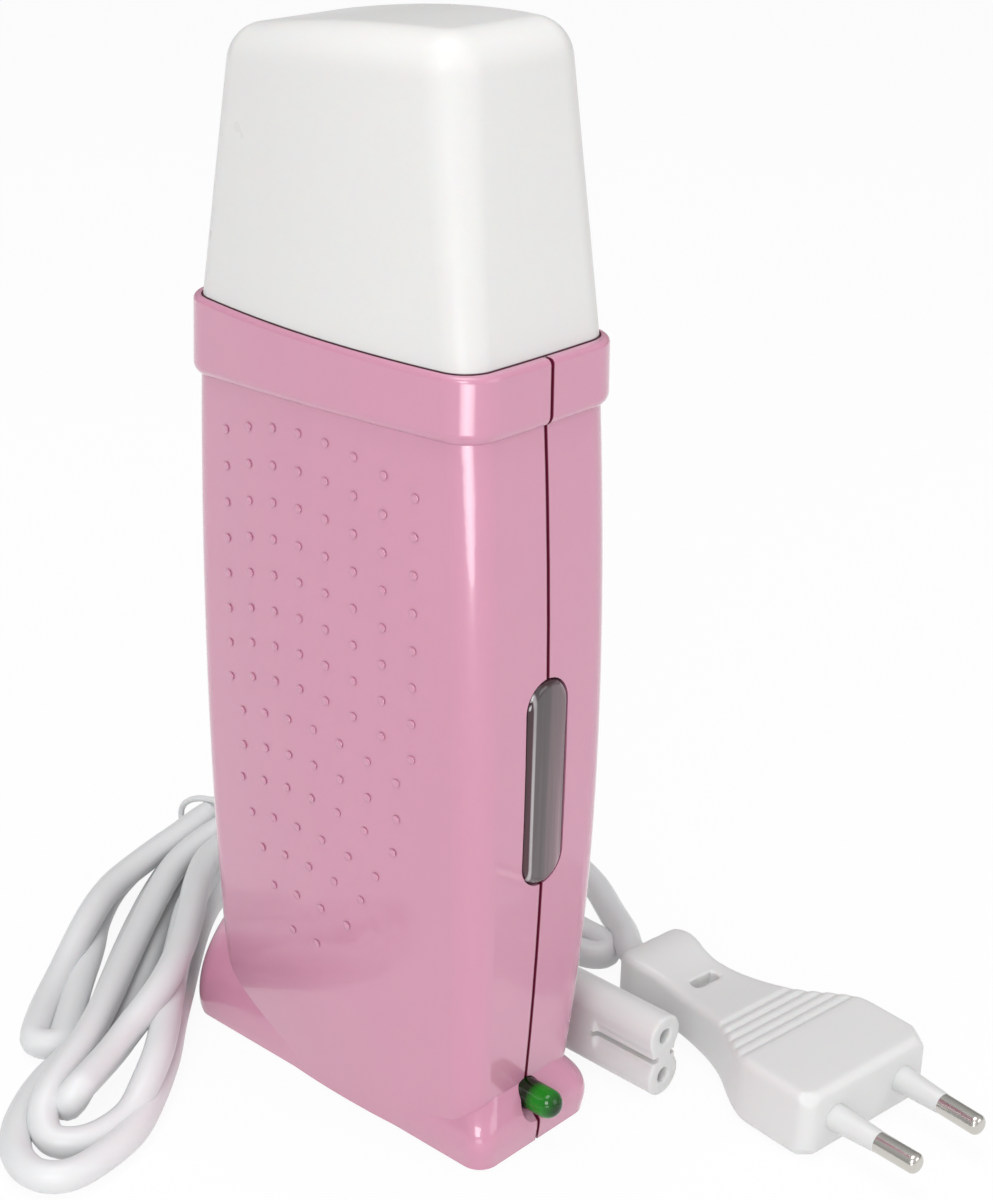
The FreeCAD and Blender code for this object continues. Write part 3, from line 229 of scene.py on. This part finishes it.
# ---- indicator light ----
# A 5 mm green lamp with its tinned leads, pushed through the foot of the seam from inside.
# The clear green dome is moulded over a small bright cup that carries the chip.
green = surface("green_lens", (0.002, 0.27, 0.004), drift=0.3, grain=420, gloss=(0.03, 0.07),
                relief=0.02, pores=400, Transmission_Weight=0.25, IOR=1.45,
                Specular_IOR_Level=0.6)
# Painted shade: the lamp turns dark green towards its root in the hole, which leaves a painted
# bright band on its dome.
shaded_root, bright_band = -0.0348, -0.0386
paint_shade(green, "Y", 0.0016, 0.0034, (0.001, 0.012, 0.001), about=shaded_root)
paint_shade(green, "Y", 0.0040, 0.0016, (0.001, 0.022, 0.001), about=bright_band)
tinned = surface("tinned_lead", (0.55, 0.55, 0.55), gloss=(0.3, 0.42), Metallic=1.0)
lamp_radius, lamp_level, lamp_front = 0.00275, 0.0092, -0.0398
barrel, flange, flange_swell, hair = 0.0068, 0.0012, 1.12, 0.00001
cup_radius, cup_depth, cup_middle, cup_bowl = 0.0012, 0.0030, -0.0366, 0.0008
bpy.ops.object.select_all(action="DESELECT")
bpy.ops.mesh.primitive_uv_sphere_add(segments=48, ring_count=24, radius=lamp_radius,
                                     location=(0, lamp_front, lamp_level),
                                     rotation=(pi / 2, 0, 0))
indicator = bpy.context.object
indicator.name = "indicator_lamp"
bpy.ops.object.transform_apply(location=True, rotation=True, scale=True)
bpy.ops.object.mode_set(mode="EDIT")
bpy.ops.mesh.select_all(action="SELECT")
bpy.ops.mesh.bisect(plane_co=(0, lamp_front + hair, 0), plane_no=(0, 1, 0),
                    clear_outer=True)
bpy.ops.mesh.select_all(action="DESELECT")
bpy.ops.mesh.select_non_manifold()
bpy.ops.mesh.extrude_region_move(TRANSFORM_OT_translate={"value": (0, barrel, 0)})
bpy.ops.mesh.extrude_region_move(TRANSFORM_OT_translate={"value": (0, hair, 0)})
bpy.ops.transform.resize(value=(flange_swell, 1, flange_swell),
                         center_override=(0, lamp_front, lamp_level))
bpy.ops.mesh.extrude_region_move(TRANSFORM_OT_translate={"value": (0, flange, 0)})
bpy.ops.mesh.fill()
bpy.ops.mesh.select_all(action="SELECT")
bpy.ops.mesh.normals_make_consistent(inside=False)
bpy.ops.object.mode_set(mode="OBJECT")
bpy.ops.object.shade_smooth_by_angle(angle=radians(40))
indicator.data.materials.append(green)
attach(indicator, "housing")
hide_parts("indicator_light")
bpy.ops.object.select_all(action="DESELECT")
bpy.ops.mesh.primitive_cylinder_add(vertices=32, radius=cup_radius, depth=cup_depth,
                                    location=(0, cup_middle, lamp_level),
                                    rotation=(pi / 2, 0, 0))
cup = bpy.context.object
cup.name = "indicator_cup"
bpy.ops.object.transform_apply(location=True, rotation=True, scale=True)
bpy.ops.object.mode_set(mode="EDIT")
bpy.ops.mesh.select_all(action="SELECT")
bpy.ops.mesh.bevel(offset=0.00015, segments=2)
bpy.ops.object.mode_set(mode="OBJECT")
for face in cup.data.polygons:
    face.select = face.normal.y < -0.9
bpy.ops.object.mode_set(mode="EDIT")
bpy.ops.mesh.inset(thickness=0.0002)
bpy.ops.mesh.extrude_region_move(TRANSFORM_OT_translate={"value": (0, cup_bowl, 0)})
bpy.ops.transform.resize(value=(0.5, 1, 0.5), center_override=(0, cup_middle, lamp_level))
bpy.ops.object.mode_set(mode="OBJECT")
bpy.ops.object.shade_smooth_by_angle(angle=radians(40))
cup.data.materials.append(tinned)
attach(cup, "housing")
dress("light_leads", tinned)
dress("indicator_light", green)


# ---- heater works ----
# The wax sits in an aluminium well; a pressed-in heating element warms it, with a thermostat
# and a fuse clamped on beside it, all wired to the inlet at the heel.
aluminium = surface("drawn_aluminium", (0.62, 0.62, 0.63), grain=200, gloss=(0.28, 0.45),
                    relief=0.05, Metallic=1.0)
black = surface("black_plastic", (0.012, 0.012, 0.013), gloss=(0.35, 0.5), relief=0.04)
spring = surface("spring_steel", (0.36, 0.36, 0.38), gloss=(0.22, 0.35), Metallic=1.0)
board = surface("board", (0.24, 0.13, 0.045), drift=0.12, grain=900, gloss=(0.45, 0.6))
tan = surface("resistor_body", (0.42, 0.30, 0.17), gloss=(0.4, 0.5))
sleeve = surface("glass_sleeve", (0.62, 0.60, 0.54), drift=0.1, grain=1500, gloss=(0.6, 0.8),
                 relief=0.3, pores=2500)
brown = surface("brown_insulation", (0.09, 0.030, 0.012), gloss=(0.35, 0.45))
blue = surface("blue_insulation", (0.012, 0.055, 0.30), gloss=(0.35, 0.45))
nickel = surface("nickel_plate", (0.62, 0.60, 0.56), gloss=(0.12, 0.24), relief=0.03,
                 grain=300, Metallic=1.0)
zinc = surface("zinc_screw", (0.48, 0.48, 0.47), gloss=(0.3, 0.42), Metallic=1.0)
brass = surface("contact_brass", (0.50, 0.33, 0.10), gloss=(0.25, 0.4), Metallic=1.0)
dress("heating_well", aluminium)
dress("heating_element", black)
dress("clamp_spring", spring)
dress("thermostat", black)
dress("thermal_fuse", nickel)
dress("circuit_board", board)
dress("board_resistor", tan)
dress("board_diode", black)
dress("element_leads", sleeve)
dress("live_wire", brown)
dress("neutral_wire", blue)
dress("mains_inlet", black)
dress("inlet_pins", nickel)
dress("shell_screws", zinc)


# ---- wax cartridge ----
# A flat translucent bottle of amber wax with a white roller head pressed on its neck.
bottle = surface("bottle_plastic", (0.72, 0.68, 0.58), grain=50, gloss=(0.25, 0.35),
                 Transmission_Weight=0.5, IOR=1.48)
wax = surface("wax", (0.50, 0.19, 0.022), drift=0.1, grain=90, gloss=(0.2, 0.35),
              Subsurface_Weight=0.3, Subsurface_Scale=0.003)
white = surface("white_plastic", (0.78, 0.78, 0.77), gloss=(0.3, 0.4))
dress("cartridge_bottle", bottle)
dress("wax_fill", wax)
dress("roller_head", white)
dress("wax_roller", white)


# ---- grip dots ----
# Low moulded domes on the wide sides, laid in bowed rows that narrow like a shield. They
# keep a waxy hand from slipping.
pitch_across, dome_radius, dome_rise, dome_foot = 0.0065, 0.00078, 0.00016, -0.0002
row_bow, clear_of_side = 9.0, 0.05
rows = [(0.1312, 0.0, 8), (0.1245, 0.0, 8), (0.1178, 0.0, 8), (0.1111, 0.0, 8),
        (0.1044, 0.0, 8), (0.0977, 0.0, 8), (0.0910, 0.0, 8), (0.0843, 0.0, 8),
        (0.0775, 0.0, 7), (0.0705, 0.0, 7), (0.0636, 0.0008, 7), (0.0562, 0.0016, 6),
        (0.0491, 0.0020, 5), (0.0416, 0.0024, 4), (0.0334, 0.0040, 2)]
bpy.ops.object.select_all(action="DESELECT")
bpy.ops.mesh.primitive_uv_sphere_add(segments=16, ring_count=10, radius=dome_radius)
dome = bpy.context.object
bpy.ops.object.mode_set(mode="EDIT")
bpy.ops.mesh.select_all(action="SELECT")
bpy.ops.mesh.bisect(plane_co=(0, 0, dome_foot), plane_no=(0, 0, 1), clear_inner=True,
                    use_fill=True)
bpy.ops.mesh.select_all(action="SELECT")
bpy.ops.transform.resize(value=(1, 1, dome_rise / dome_radius))
bpy.ops.object.mode_set(mode="OBJECT")
dots = []
for hand, shell in ((-1, "left_shell"), (1, "right_shell")):
    for height, centre, count in rows:
        for k in range(count):
            off_middle = (k - (count - 1) / 2) * pitch_across
            start = Vector((hand * clear_of_side, centre + off_middle,
                            height - row_bow * off_middle ** 2))
            met, seat, normal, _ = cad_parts[shell].ray_cast(start, Vector((-hand, 0, 0)))
            if met:
                dot = bpy.data.objects.new("dot", dome.data.copy())
                bpy.context.scene.collection.objects.link(dot)
                dot.matrix_world = Matrix.Translation(seat) @ (
                    Vector((0, 0, 1)).rotation_difference(normal).to_matrix().to_4x4())
                dots.append(dot)
bpy.data.objects.remove(dome)


def pick(pieces):
    bpy.ops.object.select_all(action="DESELECT")
    for piece in pieces:
        piece.select_set(True)
    bpy.context.view_layer.objects.active = pieces[0]


pick(dots)
bpy.ops.object.transform_apply(location=True, rotation=True, scale=True)
bpy.ops.object.join()
grip_dots = bpy.context.object
grip_dots.name = "grip_dots"
bpy.ops.object.shade_smooth_by_angle(angle=radians(60))
grip_dots.data.materials.clear()
grip_dots.data.materials.append(pink)
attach(grip_dots, "housing")


# ---- mains plug ----
# A flat two-pin plug of soft white PVC moulded over the end of the lead. Its front is cut to
# a long hexagon, the grip is waisted and ribbed, and a slot behind the ribs takes a bridge.
pvc = surface("white_moulding", (0.68, 0.685, 0.68), drift=0.02, grain=70, gloss=(0.30, 0.42),
              relief=0.03, pores=1600, Subsurface_Weight=0.08, Subsurface_Scale=0.002)
plug_tail = Vector((0.0516, -0.0210, 0))
along = Vector((-0.10453, -0.99452, 0))
across = Vector((0.99452, -0.10453, 0))
upward = Vector((0, 0, 1))
plug_length, plug_high = 0.058, 0.0137
front_corner, corner_along, corner_across, corner_up = 0.0128, 34, 110, 62
slot_at, slot_level = 0.0157, 0.0107


def plug_spot(a, b, c):
    return plug_tail + along * a + across * b + upward * c


# A merged copy of a solid, to be shaped further.
def traced(node, name):
    piece = bpy.data.objects.new(name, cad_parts[node].data.copy())
    bpy.context.scene.collection.objects.link(piece)
    pick([piece])
    bpy.ops.object.mode_set(mode="EDIT")
    bpy.ops.mesh.select_all(action="SELECT")
    bpy.ops.mesh.remove_doubles(threshold=0.00001)
    bpy.ops.object.mode_set(mode="OBJECT")
    return piece


# A moulding comes out of its tool with every edge eased: an even new skin, then smoothed.
def relax(piece, skin, rounds):
    cover = piece.modifiers.new("skin", "REMESH")
    cover.mode = "VOXEL"
    cover.voxel_size = skin
    bpy.ops.object.modifier_apply(modifier=cover.name)
    ease = piece.modifiers.new("ease", "SMOOTH")
    ease.factor = 0.5
    ease.iterations = rounds
    bpy.ops.object.modifier_apply(modifier=ease.name)


def carve(piece, cutters):
    for cutter in cutters:
        pick([piece])
        away = piece.modifiers.new("away", "BOOLEAN")
        away.operation = "DIFFERENCE"
        away.solver = "EXACT"
        away.object = cutter
        bpy.ops.object.modifier_apply(modifier=away.name)
        bpy.data.objects.remove(cutter)


# A block lined up with the plug, which cuts a recess.
def wedge(middle, reach, deep, high):
    bpy.ops.object.select_all(action="DESELECT")
    bpy.ops.mesh.primitive_cube_add(size=1, location=(0, 0, 0))
    tool = bpy.context.object
    tool.data.transform(Matrix.Diagonal((reach, deep, high, 1)))
    tool.data.transform(Matrix.Translation(middle) @ Matrix(
        (along, across, upward)).transposed().to_4x4())
    return tool


plug = traced("mains_plug", "plug_moulding")
bpy.ops.object.mode_set(mode="EDIT")
for hand in (-1, 1):
    for way in (-1, 1):
        bpy.ops.mesh.select_all(action="SELECT")
        bpy.ops.mesh.bisect(plane_co=plug_spot(plug_length, front_corner * hand,
                                               (0.5 + 0.5 * way) * plug_high),
                            plane_no=(along * corner_along + across * (corner_across * hand)
                                      + upward * (corner_up * way)),
                            clear_outer=True, use_fill=True)
bpy.ops.object.mode_set(mode="OBJECT")
relax(plug, 0.0004, 4)
carve(plug, [wedge(plug_spot(slot_at, -0.0017, slot_level), 0.0026, 0.0022, 0.0042),
             wedge(plug_spot(slot_at, 0.0014, slot_level), 0.0026, 0.0028, 0.0042),
             wedge(plug_spot(slot_at, 0, slot_level + 0.0007), 0.0026, 0.0056, 0.0016)])
bpy.ops.object.shade_smooth_by_angle(angle=radians(35))
plug.data.materials.clear()
plug.data.materials.append(pvc)
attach(plug, "housing")
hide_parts("mains_plug")


# ---- pin sleeves ----
# White insulating sleeves on the root half of each pin, thick where they leave the plug and
# tapering to the bare nickel-plated tip.
pin_length, half_pitch_root, half_pitch_tip = 0.019, 0.0093, 0.00875
sleeve_root, sleeve_tip, sleeve_length, sleeve_sunk = 0.00265, 0.00205, 0.0106, 0.0006
sleeves = []
for hand in (-1, 1):
    root = plug_spot(plug_length - sleeve_sunk, half_pitch_root * hand, 0.5 * plug_high)
    tip = plug_spot(plug_length + pin_length, half_pitch_tip * hand, 0.5 * plug_high)
    lean = Vector((0, 0, 1)).rotation_difference(tip - root)
    middle = root + (tip - root).normalized() * 0.5 * sleeve_length
    bpy.ops.object.select_all(action="DESELECT")
    bpy.ops.mesh.primitive_cone_add(vertices=40, radius1=sleeve_root, radius2=sleeve_tip,
                                    depth=sleeve_length, location=middle,
                                    rotation=lean.to_euler())
    sleeves.append(bpy.context.object)
    bpy.ops.object.transform_apply(location=True, rotation=True, scale=True)
    for face in sleeves[-1].data.polygons:
        face.select = len(face.vertices) > 4 and face.normal.dot(along) > 0.9
    bpy.ops.object.mode_set(mode="EDIT")
    bpy.ops.mesh.bevel(offset=0.00022, segments=3)
    bpy.ops.object.mode_set(mode="OBJECT")
pick(sleeves)
bpy.ops.object.join()
pin_sleeves = bpy.context.object
pin_sleeves.name = "tapered_sleeves"
bpy.ops.object.transform_apply(location=True, rotation=True, scale=True)
bpy.ops.object.shade_smooth_by_angle(angle=radians(40))
pin_sleeves.data.materials.append(pvc)
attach(pin_sleeves, "housing")
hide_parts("pin_sleeves")
dress("pin_sleeves", pvc)
dress("plug_pins", nickel)


# ---- appliance connector ----
# A figure-of-eight connector of the same PVC on the other end of the lead, waisted by a deep
# groove down each side, with two contact holes in its face.
connector_line, waist_level, waist_half = 0.0272, 0.0085, 0.0036
hole_radius, hole_depth, hole_middle = 0.00145, 0.012, -0.0405
connector = traced("appliance_connector", "connector_moulding")
relax(connector, 0.00035, 3)
cutters = []
for hand in (-1, 1):
    bpy.ops.object.select_all(action="DESELECT")
    bpy.ops.mesh.primitive_cube_add(size=1, location=(0, 0, 0))
    bpy.context.object.data.transform(
        Matrix.Translation((connector_line + hand * waist_half, -0.038, waist_level))
        @ Matrix.Diagonal((0.0038, 0.0160, 0.0011, 1)))
    cutters.append(bpy.context.object)
for hole_level in (0.0042, 0.0128):
    bpy.ops.object.select_all(action="DESELECT")
    bpy.ops.mesh.primitive_cylinder_add(vertices=32, radius=hole_radius, depth=hole_depth,
                                        location=(connector_line, hole_middle, hole_level),
                                        rotation=(pi / 2, 0, 0))
    cutters.append(bpy.context.object)
carve(connector, cutters)
bpy.ops.object.shade_smooth_by_angle(angle=radians(35))
connector.data.materials.clear()
connector.data.materials.append(pvc)
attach(connector, "housing")
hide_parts("appliance_connector")
dress("connector_contacts", brass)


# ---- mains lead ----
# One round lead of soft white PVC, a metre and a half long. It runs from the connector,
# lies folded behind the heater in four long loops, and comes forward again to the plug.
sheath = surface("cord_sheath", (0.68, 0.69, 0.695), drift=0.02, grain=120, gloss=(0.34, 0.44),
                 relief=0.03, pores=1800, Subsurface_Weight=0.05, Subsurface_Scale=0.002)
lead_radius = 0.0029
from_connector = [
    (27.2, 13, 8.5), (27.2, 21, 8.5), (29, 31, 6), (35, 40, 3.5), (39.5, 50, 2.9),
    (36, 60, 2.9), (27, 66, 2.9), (17, 67.5, 2.9), (7.5, 63.5, 2.9), (-5, 53.5, 2.9),
    (-17, 42.5, 2.9), (-26, 34.5, 2.9), (-34, 26.5, 2.9), (-43, 19.5, 2.9), (-52, 13.5, 2.9)]
low_loop = [
    (-60, 11.5, 2.9), (-68, 11, 2.9), (-72.5, 15, 2.9), (-72, 22, 2.9), (-67.5, 28.5, 2.9),
    (-61, 33.5, 2.9), (-55, 37, 2.9), (-49, 39, 2.9), (-42, 41.5, 2.9), (-34, 46.5, 2.9),
    (-26, 53, 2.9), (-16, 61, 2.9), (-6, 68.5, 2.9), (4, 75.5, 2.9), (14, 81.5, 2.9),
    (27, 85, 2.9)]
far_fold = [
    (44, 84, 2.9), (59, 79, 2.9), (71, 75, 2.9), (79, 78, 2.9), (79.5, 86, 2.9),
    (72.5, 90, 2.9), (59, 91, 2.9), (44, 92, 2.9), (29, 91.5, 2.9), (20, 90, 2.9)]
high_loop = [
    (11.5, 88, 2.9), (4, 85.5, 2.9), (-4, 81.5, 2.9), (-13.5, 74, 2.9), (-20, 67, 2.9),
    (-27.5, 60.5, 2.9), (-34, 54.5, 2.9), (-40.5, 48.5, 2.9), (-45, 44.5, 2.9),
    (-48.5, 48.5, 2.9), (-44, 53, 2.9), (-38, 58, 2.9), (-30.5, 63, 3.8), (-22.5, 67.5, 6.8),
    (-15.5, 71.5, 8.6), (-7.5, 76, 8.8), (1.5, 79, 8.6), (10, 81.5, 8.4), (17, 83, 8.4),
    (28, 86.5, 8)]
near_fold = [
    (44, 88, 7.9), (57, 85, 7.9), (69, 82, 8.2), (74.5, 77, 8.7), (72, 70, 8.4),
    (62, 71, 8.1), (50, 77, 7.9), (38, 80.5, 7.9), (26, 79.5, 8), (16, 77, 8.4)]
middle_loop = [
    (7.5, 73.5, 8.5), (-1, 68, 8.5), (-11, 61, 8.4), (-20.5, 54, 8.4), (-31, 46, 8.4),
    (-38.5, 40.5, 8.4), (-46, 35.5, 8.4), (-53, 32, 8), (-59.5, 29, 7), (-63.5, 26, 4.8),
    (-65, 21.5, 3.2), (-62, 18, 2.9), (-57, 16.5, 2.9), (-50, 17, 3.6), (-44.5, 19.5, 6.2),
    (-38.5, 23, 8.2), (-33, 28, 8.4), (-26, 35, 8.4), (-18.5, 42.5, 8.4), (-10.5, 50, 8.4),
    (-2, 58, 8.2), (6.5, 64.5, 7), (15, 70, 4.5), (26, 72.5, 2.9), (38, 68, 2.9)]
side_fold = [
    (46, 58, 2.9), (48.5, 43, 2.9), (49.5, 27, 2.9), (50, 12, 2.9), (50, 2, 2.9),
    (50, -6, 2.9), (53.5, -9.5, 2.9), (56.5, -6, 2.9), (56.5, 2, 2.9), (57.5, 11, 2.9),
    (60, 26, 2.9), (61.5, 41, 3.3), (58, 54, 5.5), (49, 66, 7.5), (38, 73, 7.9)]
top_loop = [
    (27, 74, 8.4), (16.5, 71, 9.5), (10, 66.5, 11), (1, 58.5, 12.8), (-6.5, 51, 13.3),
    (-12, 46, 13.3), (-18, 41, 13.3), (-26, 35.5, 13), (-32.5, 33, 11.5), (-38.5, 31.5, 9.6),
    (-44.5, 29, 8.7), (-52, 26, 8.6), (-56, 24.5, 8.6), (-58.5, 25.5, 5.7), (-55.5, 28, 2.9),
    (-50, 31.5, 2.9), (-40.5, 37.5, 2.9), (-30.5, 44, 2.9), (-21.5, 50.5, 2.9),
    (-15.5, 55, 2.9), (-8.5, 61, 2.9), (-2.5, 66, 2.9), (5.5, 72, 2.9), (14.5, 77, 2.9),
    (27, 79, 2.9)]
to_plug = [
    (42, 76.5, 2.9), (57, 70, 2.9), (69, 60, 2.9), (76, 47, 2.9), (78, 33, 2.9),
    (76.5, 20, 2.9), (72.5, 10, 3), (65.5, 0, 3.6), (59, -9.5, 5.2), (52.5, -15.5, 6.6),
    (51.6, -21, 6.64)]
route = (from_connector + low_loop + far_fold + high_loop + near_fold + middle_loop
         + side_fold + top_loop + to_plug)


# A round wire or cord along given points in millimetres, with open ends or as a ring.
def lay(name, points, radius, fineness, ring=False):
    line = bpy.data.curves.new(name, "CURVE")
    line.dimensions = "3D"
    line.bevel_depth = radius
    line.bevel_resolution = fineness
    line.resolution_u = 8
    line.use_fill_caps = not ring
    run = line.splines.new("NURBS")
    run.points.add(len(points) - 1)
    for point, (x, y, z) in zip(run.points, points):
        point.co = (x / 1000, y / 1000, z / 1000, 1)
    run.order_u = 3
    run.use_endpoint_u = not ring
    run.use_cyclic_u = ring
    laid = bpy.data.objects.new(name, line)
    bpy.context.scene.collection.objects.link(laid)
    laid.data.materials.append(sheath)
    return laid


mains_lead = lay("mains_lead", route, lead_radius, 5)
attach(mains_lead, "housing")
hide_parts("plug_lead", "connector_lead", "cord_hank")


# ---- hank tie ----
# A thin white coated wire, passed once round the folded lead behind the heater and lying on
# the table under it.
tie_radius = 0.0007
loop = [(28, 96, 4), (28, 94.5, 8), (28.5, 89, 11.2), (29, 80, 12.4), (28, 70, 12.2),
        (27, 63, 7), (27, 63.5, 0.8), (27, 79, 0.7), (27.5, 93, 0.7)]
hank_tie = lay("hank_tie", loop, tie_radius, 3, ring=True)
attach(hank_tie, "housing")


# ---- table and light ----
# A plain pale table that looks almost white and still takes a faint shadow, under a soft sky
# that is brightest over the front. A large lamp stands to the left, with a weak fill, one
# overhead, one low, and a small oval one that only glints on the near corner.
bpy.ops.object.select_all(action="DESELECT")
bpy.ops.mesh.primitive_plane_add(size=12, location=(0, 0, -0.0003))
table = bpy.context.object
table.name = "table"
table_top = bpy.data.materials.new("table_top")
table_top.use_nodes = True
nodes, links = table_top.node_tree.nodes, table_top.node_tree.links
matt = nodes["Principled BSDF"]
matt.inputs["Base Color"].default_value = (0.86, 0.86, 0.86, 1)
matt.inputs["Roughness"].default_value = 0.7
glow = nodes.new("ShaderNodeEmission")
glow.inputs["Strength"].default_value = 1.0
ray = nodes.new("ShaderNodeLightPath")
seen = nodes.new("ShaderNodeMath")
seen.operation = "ADD"
links.new(ray.outputs["Is Camera Ray"], seen.inputs[0])
links.new(ray.outputs["Is Glossy Ray"], seen.inputs[1])
seen_or_clear = nodes.new("ShaderNodeMath")
seen_or_clear.operation = "ADD"
seen_or_clear.use_clamp = True
links.new(seen.outputs["Value"], seen_or_clear.inputs[0])
links.new(ray.outputs["Is Transmission Ray"], seen_or_clear.inputs[1])
white_share = 0.93
share = nodes.new("ShaderNodeMath")
share.operation = "MULTIPLY"
share.inputs[1].default_value = white_share
links.new(seen_or_clear.outputs["Value"], share.inputs[0])
blend = nodes.new("ShaderNodeMixShader")
links.new(share.outputs["Value"], blend.inputs["Fac"])
links.new(matt.outputs["BSDF"], blend.inputs[1])
links.new(glow.outputs["Emission"], blend.inputs[2])
links.new(blend.outputs["Shader"], nodes["Material Output"].inputs["Surface"])
table.data.materials.append(table_top)

sky = bpy.data.worlds.new("sky")
sky.use_nodes = True
nodes, links = sky.node_tree.nodes, sky.node_tree.links
soft = nodes["Background"]
soft.inputs["Color"].default_value = (1, 1, 1, 1)
toward = nodes.new("ShaderNodeVectorMath")
toward.operation = "DOT_PRODUCT"
links.new(nodes.new("ShaderNodeTexCoord").outputs["Generated"], toward.inputs[0])
toward.inputs[1].default_value = Vector((-0.32, -0.52, 0.79)).normalized()
fall = nodes.new("ShaderNodeMapRange")
fall.inputs["From Min"].default_value = -0.6
fall.inputs["From Max"].default_value = 0.9
fall.inputs["To Min"].default_value = 0.20
fall.inputs["To Max"].default_value = 0.72
links.new(toward.outputs["Value"], fall.inputs["Value"])
links.new(fall.outputs["Result"], soft.inputs["Strength"])
plain = nodes.new("ShaderNodeBackground")
plain.inputs["Strength"].default_value = 1.0
ray = nodes.new("ShaderNodeLightPath")
both = nodes.new("ShaderNodeMixShader")
links.new(ray.outputs["Is Camera Ray"], both.inputs["Fac"])
links.new(soft.outputs["Background"], both.inputs[1])
links.new(plain.outputs["Background"], both.inputs[2])
links.new(both.outputs["Shader"], nodes["World Output"].inputs["Surface"])
bpy.context.scene.world = sky


def lamp(name, place, aim, width, height, power, shape="RECTANGLE", spread=180):
    light = bpy.data.lights.new(name, "AREA")
    light.shape = shape
    light.size, light.size_y = width, height
    light.energy = power
    light.spread = radians(spread)
    made = bpy.data.objects.new(name, light)
    bpy.context.scene.collection.objects.link(made)
    made.location = place
    made.rotation_euler = (Vector(aim) - Vector(place)).to_track_quat("-Z", "Y").to_euler()
    made.visible_camera = False
    return made


lamp("key", (-0.9, -0.55, 0.75), (0, 0, 0.09), 0.5, 0.5, 5.2)
lamp("fill", (0.35, -1.0, 0.5), (0, 0, 0.09), 0.6, 0.6, 1.6)
lamp("overhead", (-0.1, 0.0, 1.0), (0, 0, 0.1), 0.5, 0.5, 3.0)
lamp("low", (-0.75, -0.6, 0.12), (0, 0, 0.04), 0.5, 0.2, 0.7)
glint = lamp("corner", (-0.165, -0.17, 0.085), (-0.018, -0.033, 0.110), 0.14, 0.08, 0.017,
             "ELLIPSE", 50)
glint.visible_diffuse = False

bpy.context.scene.view_settings.view_transform = "Standard"
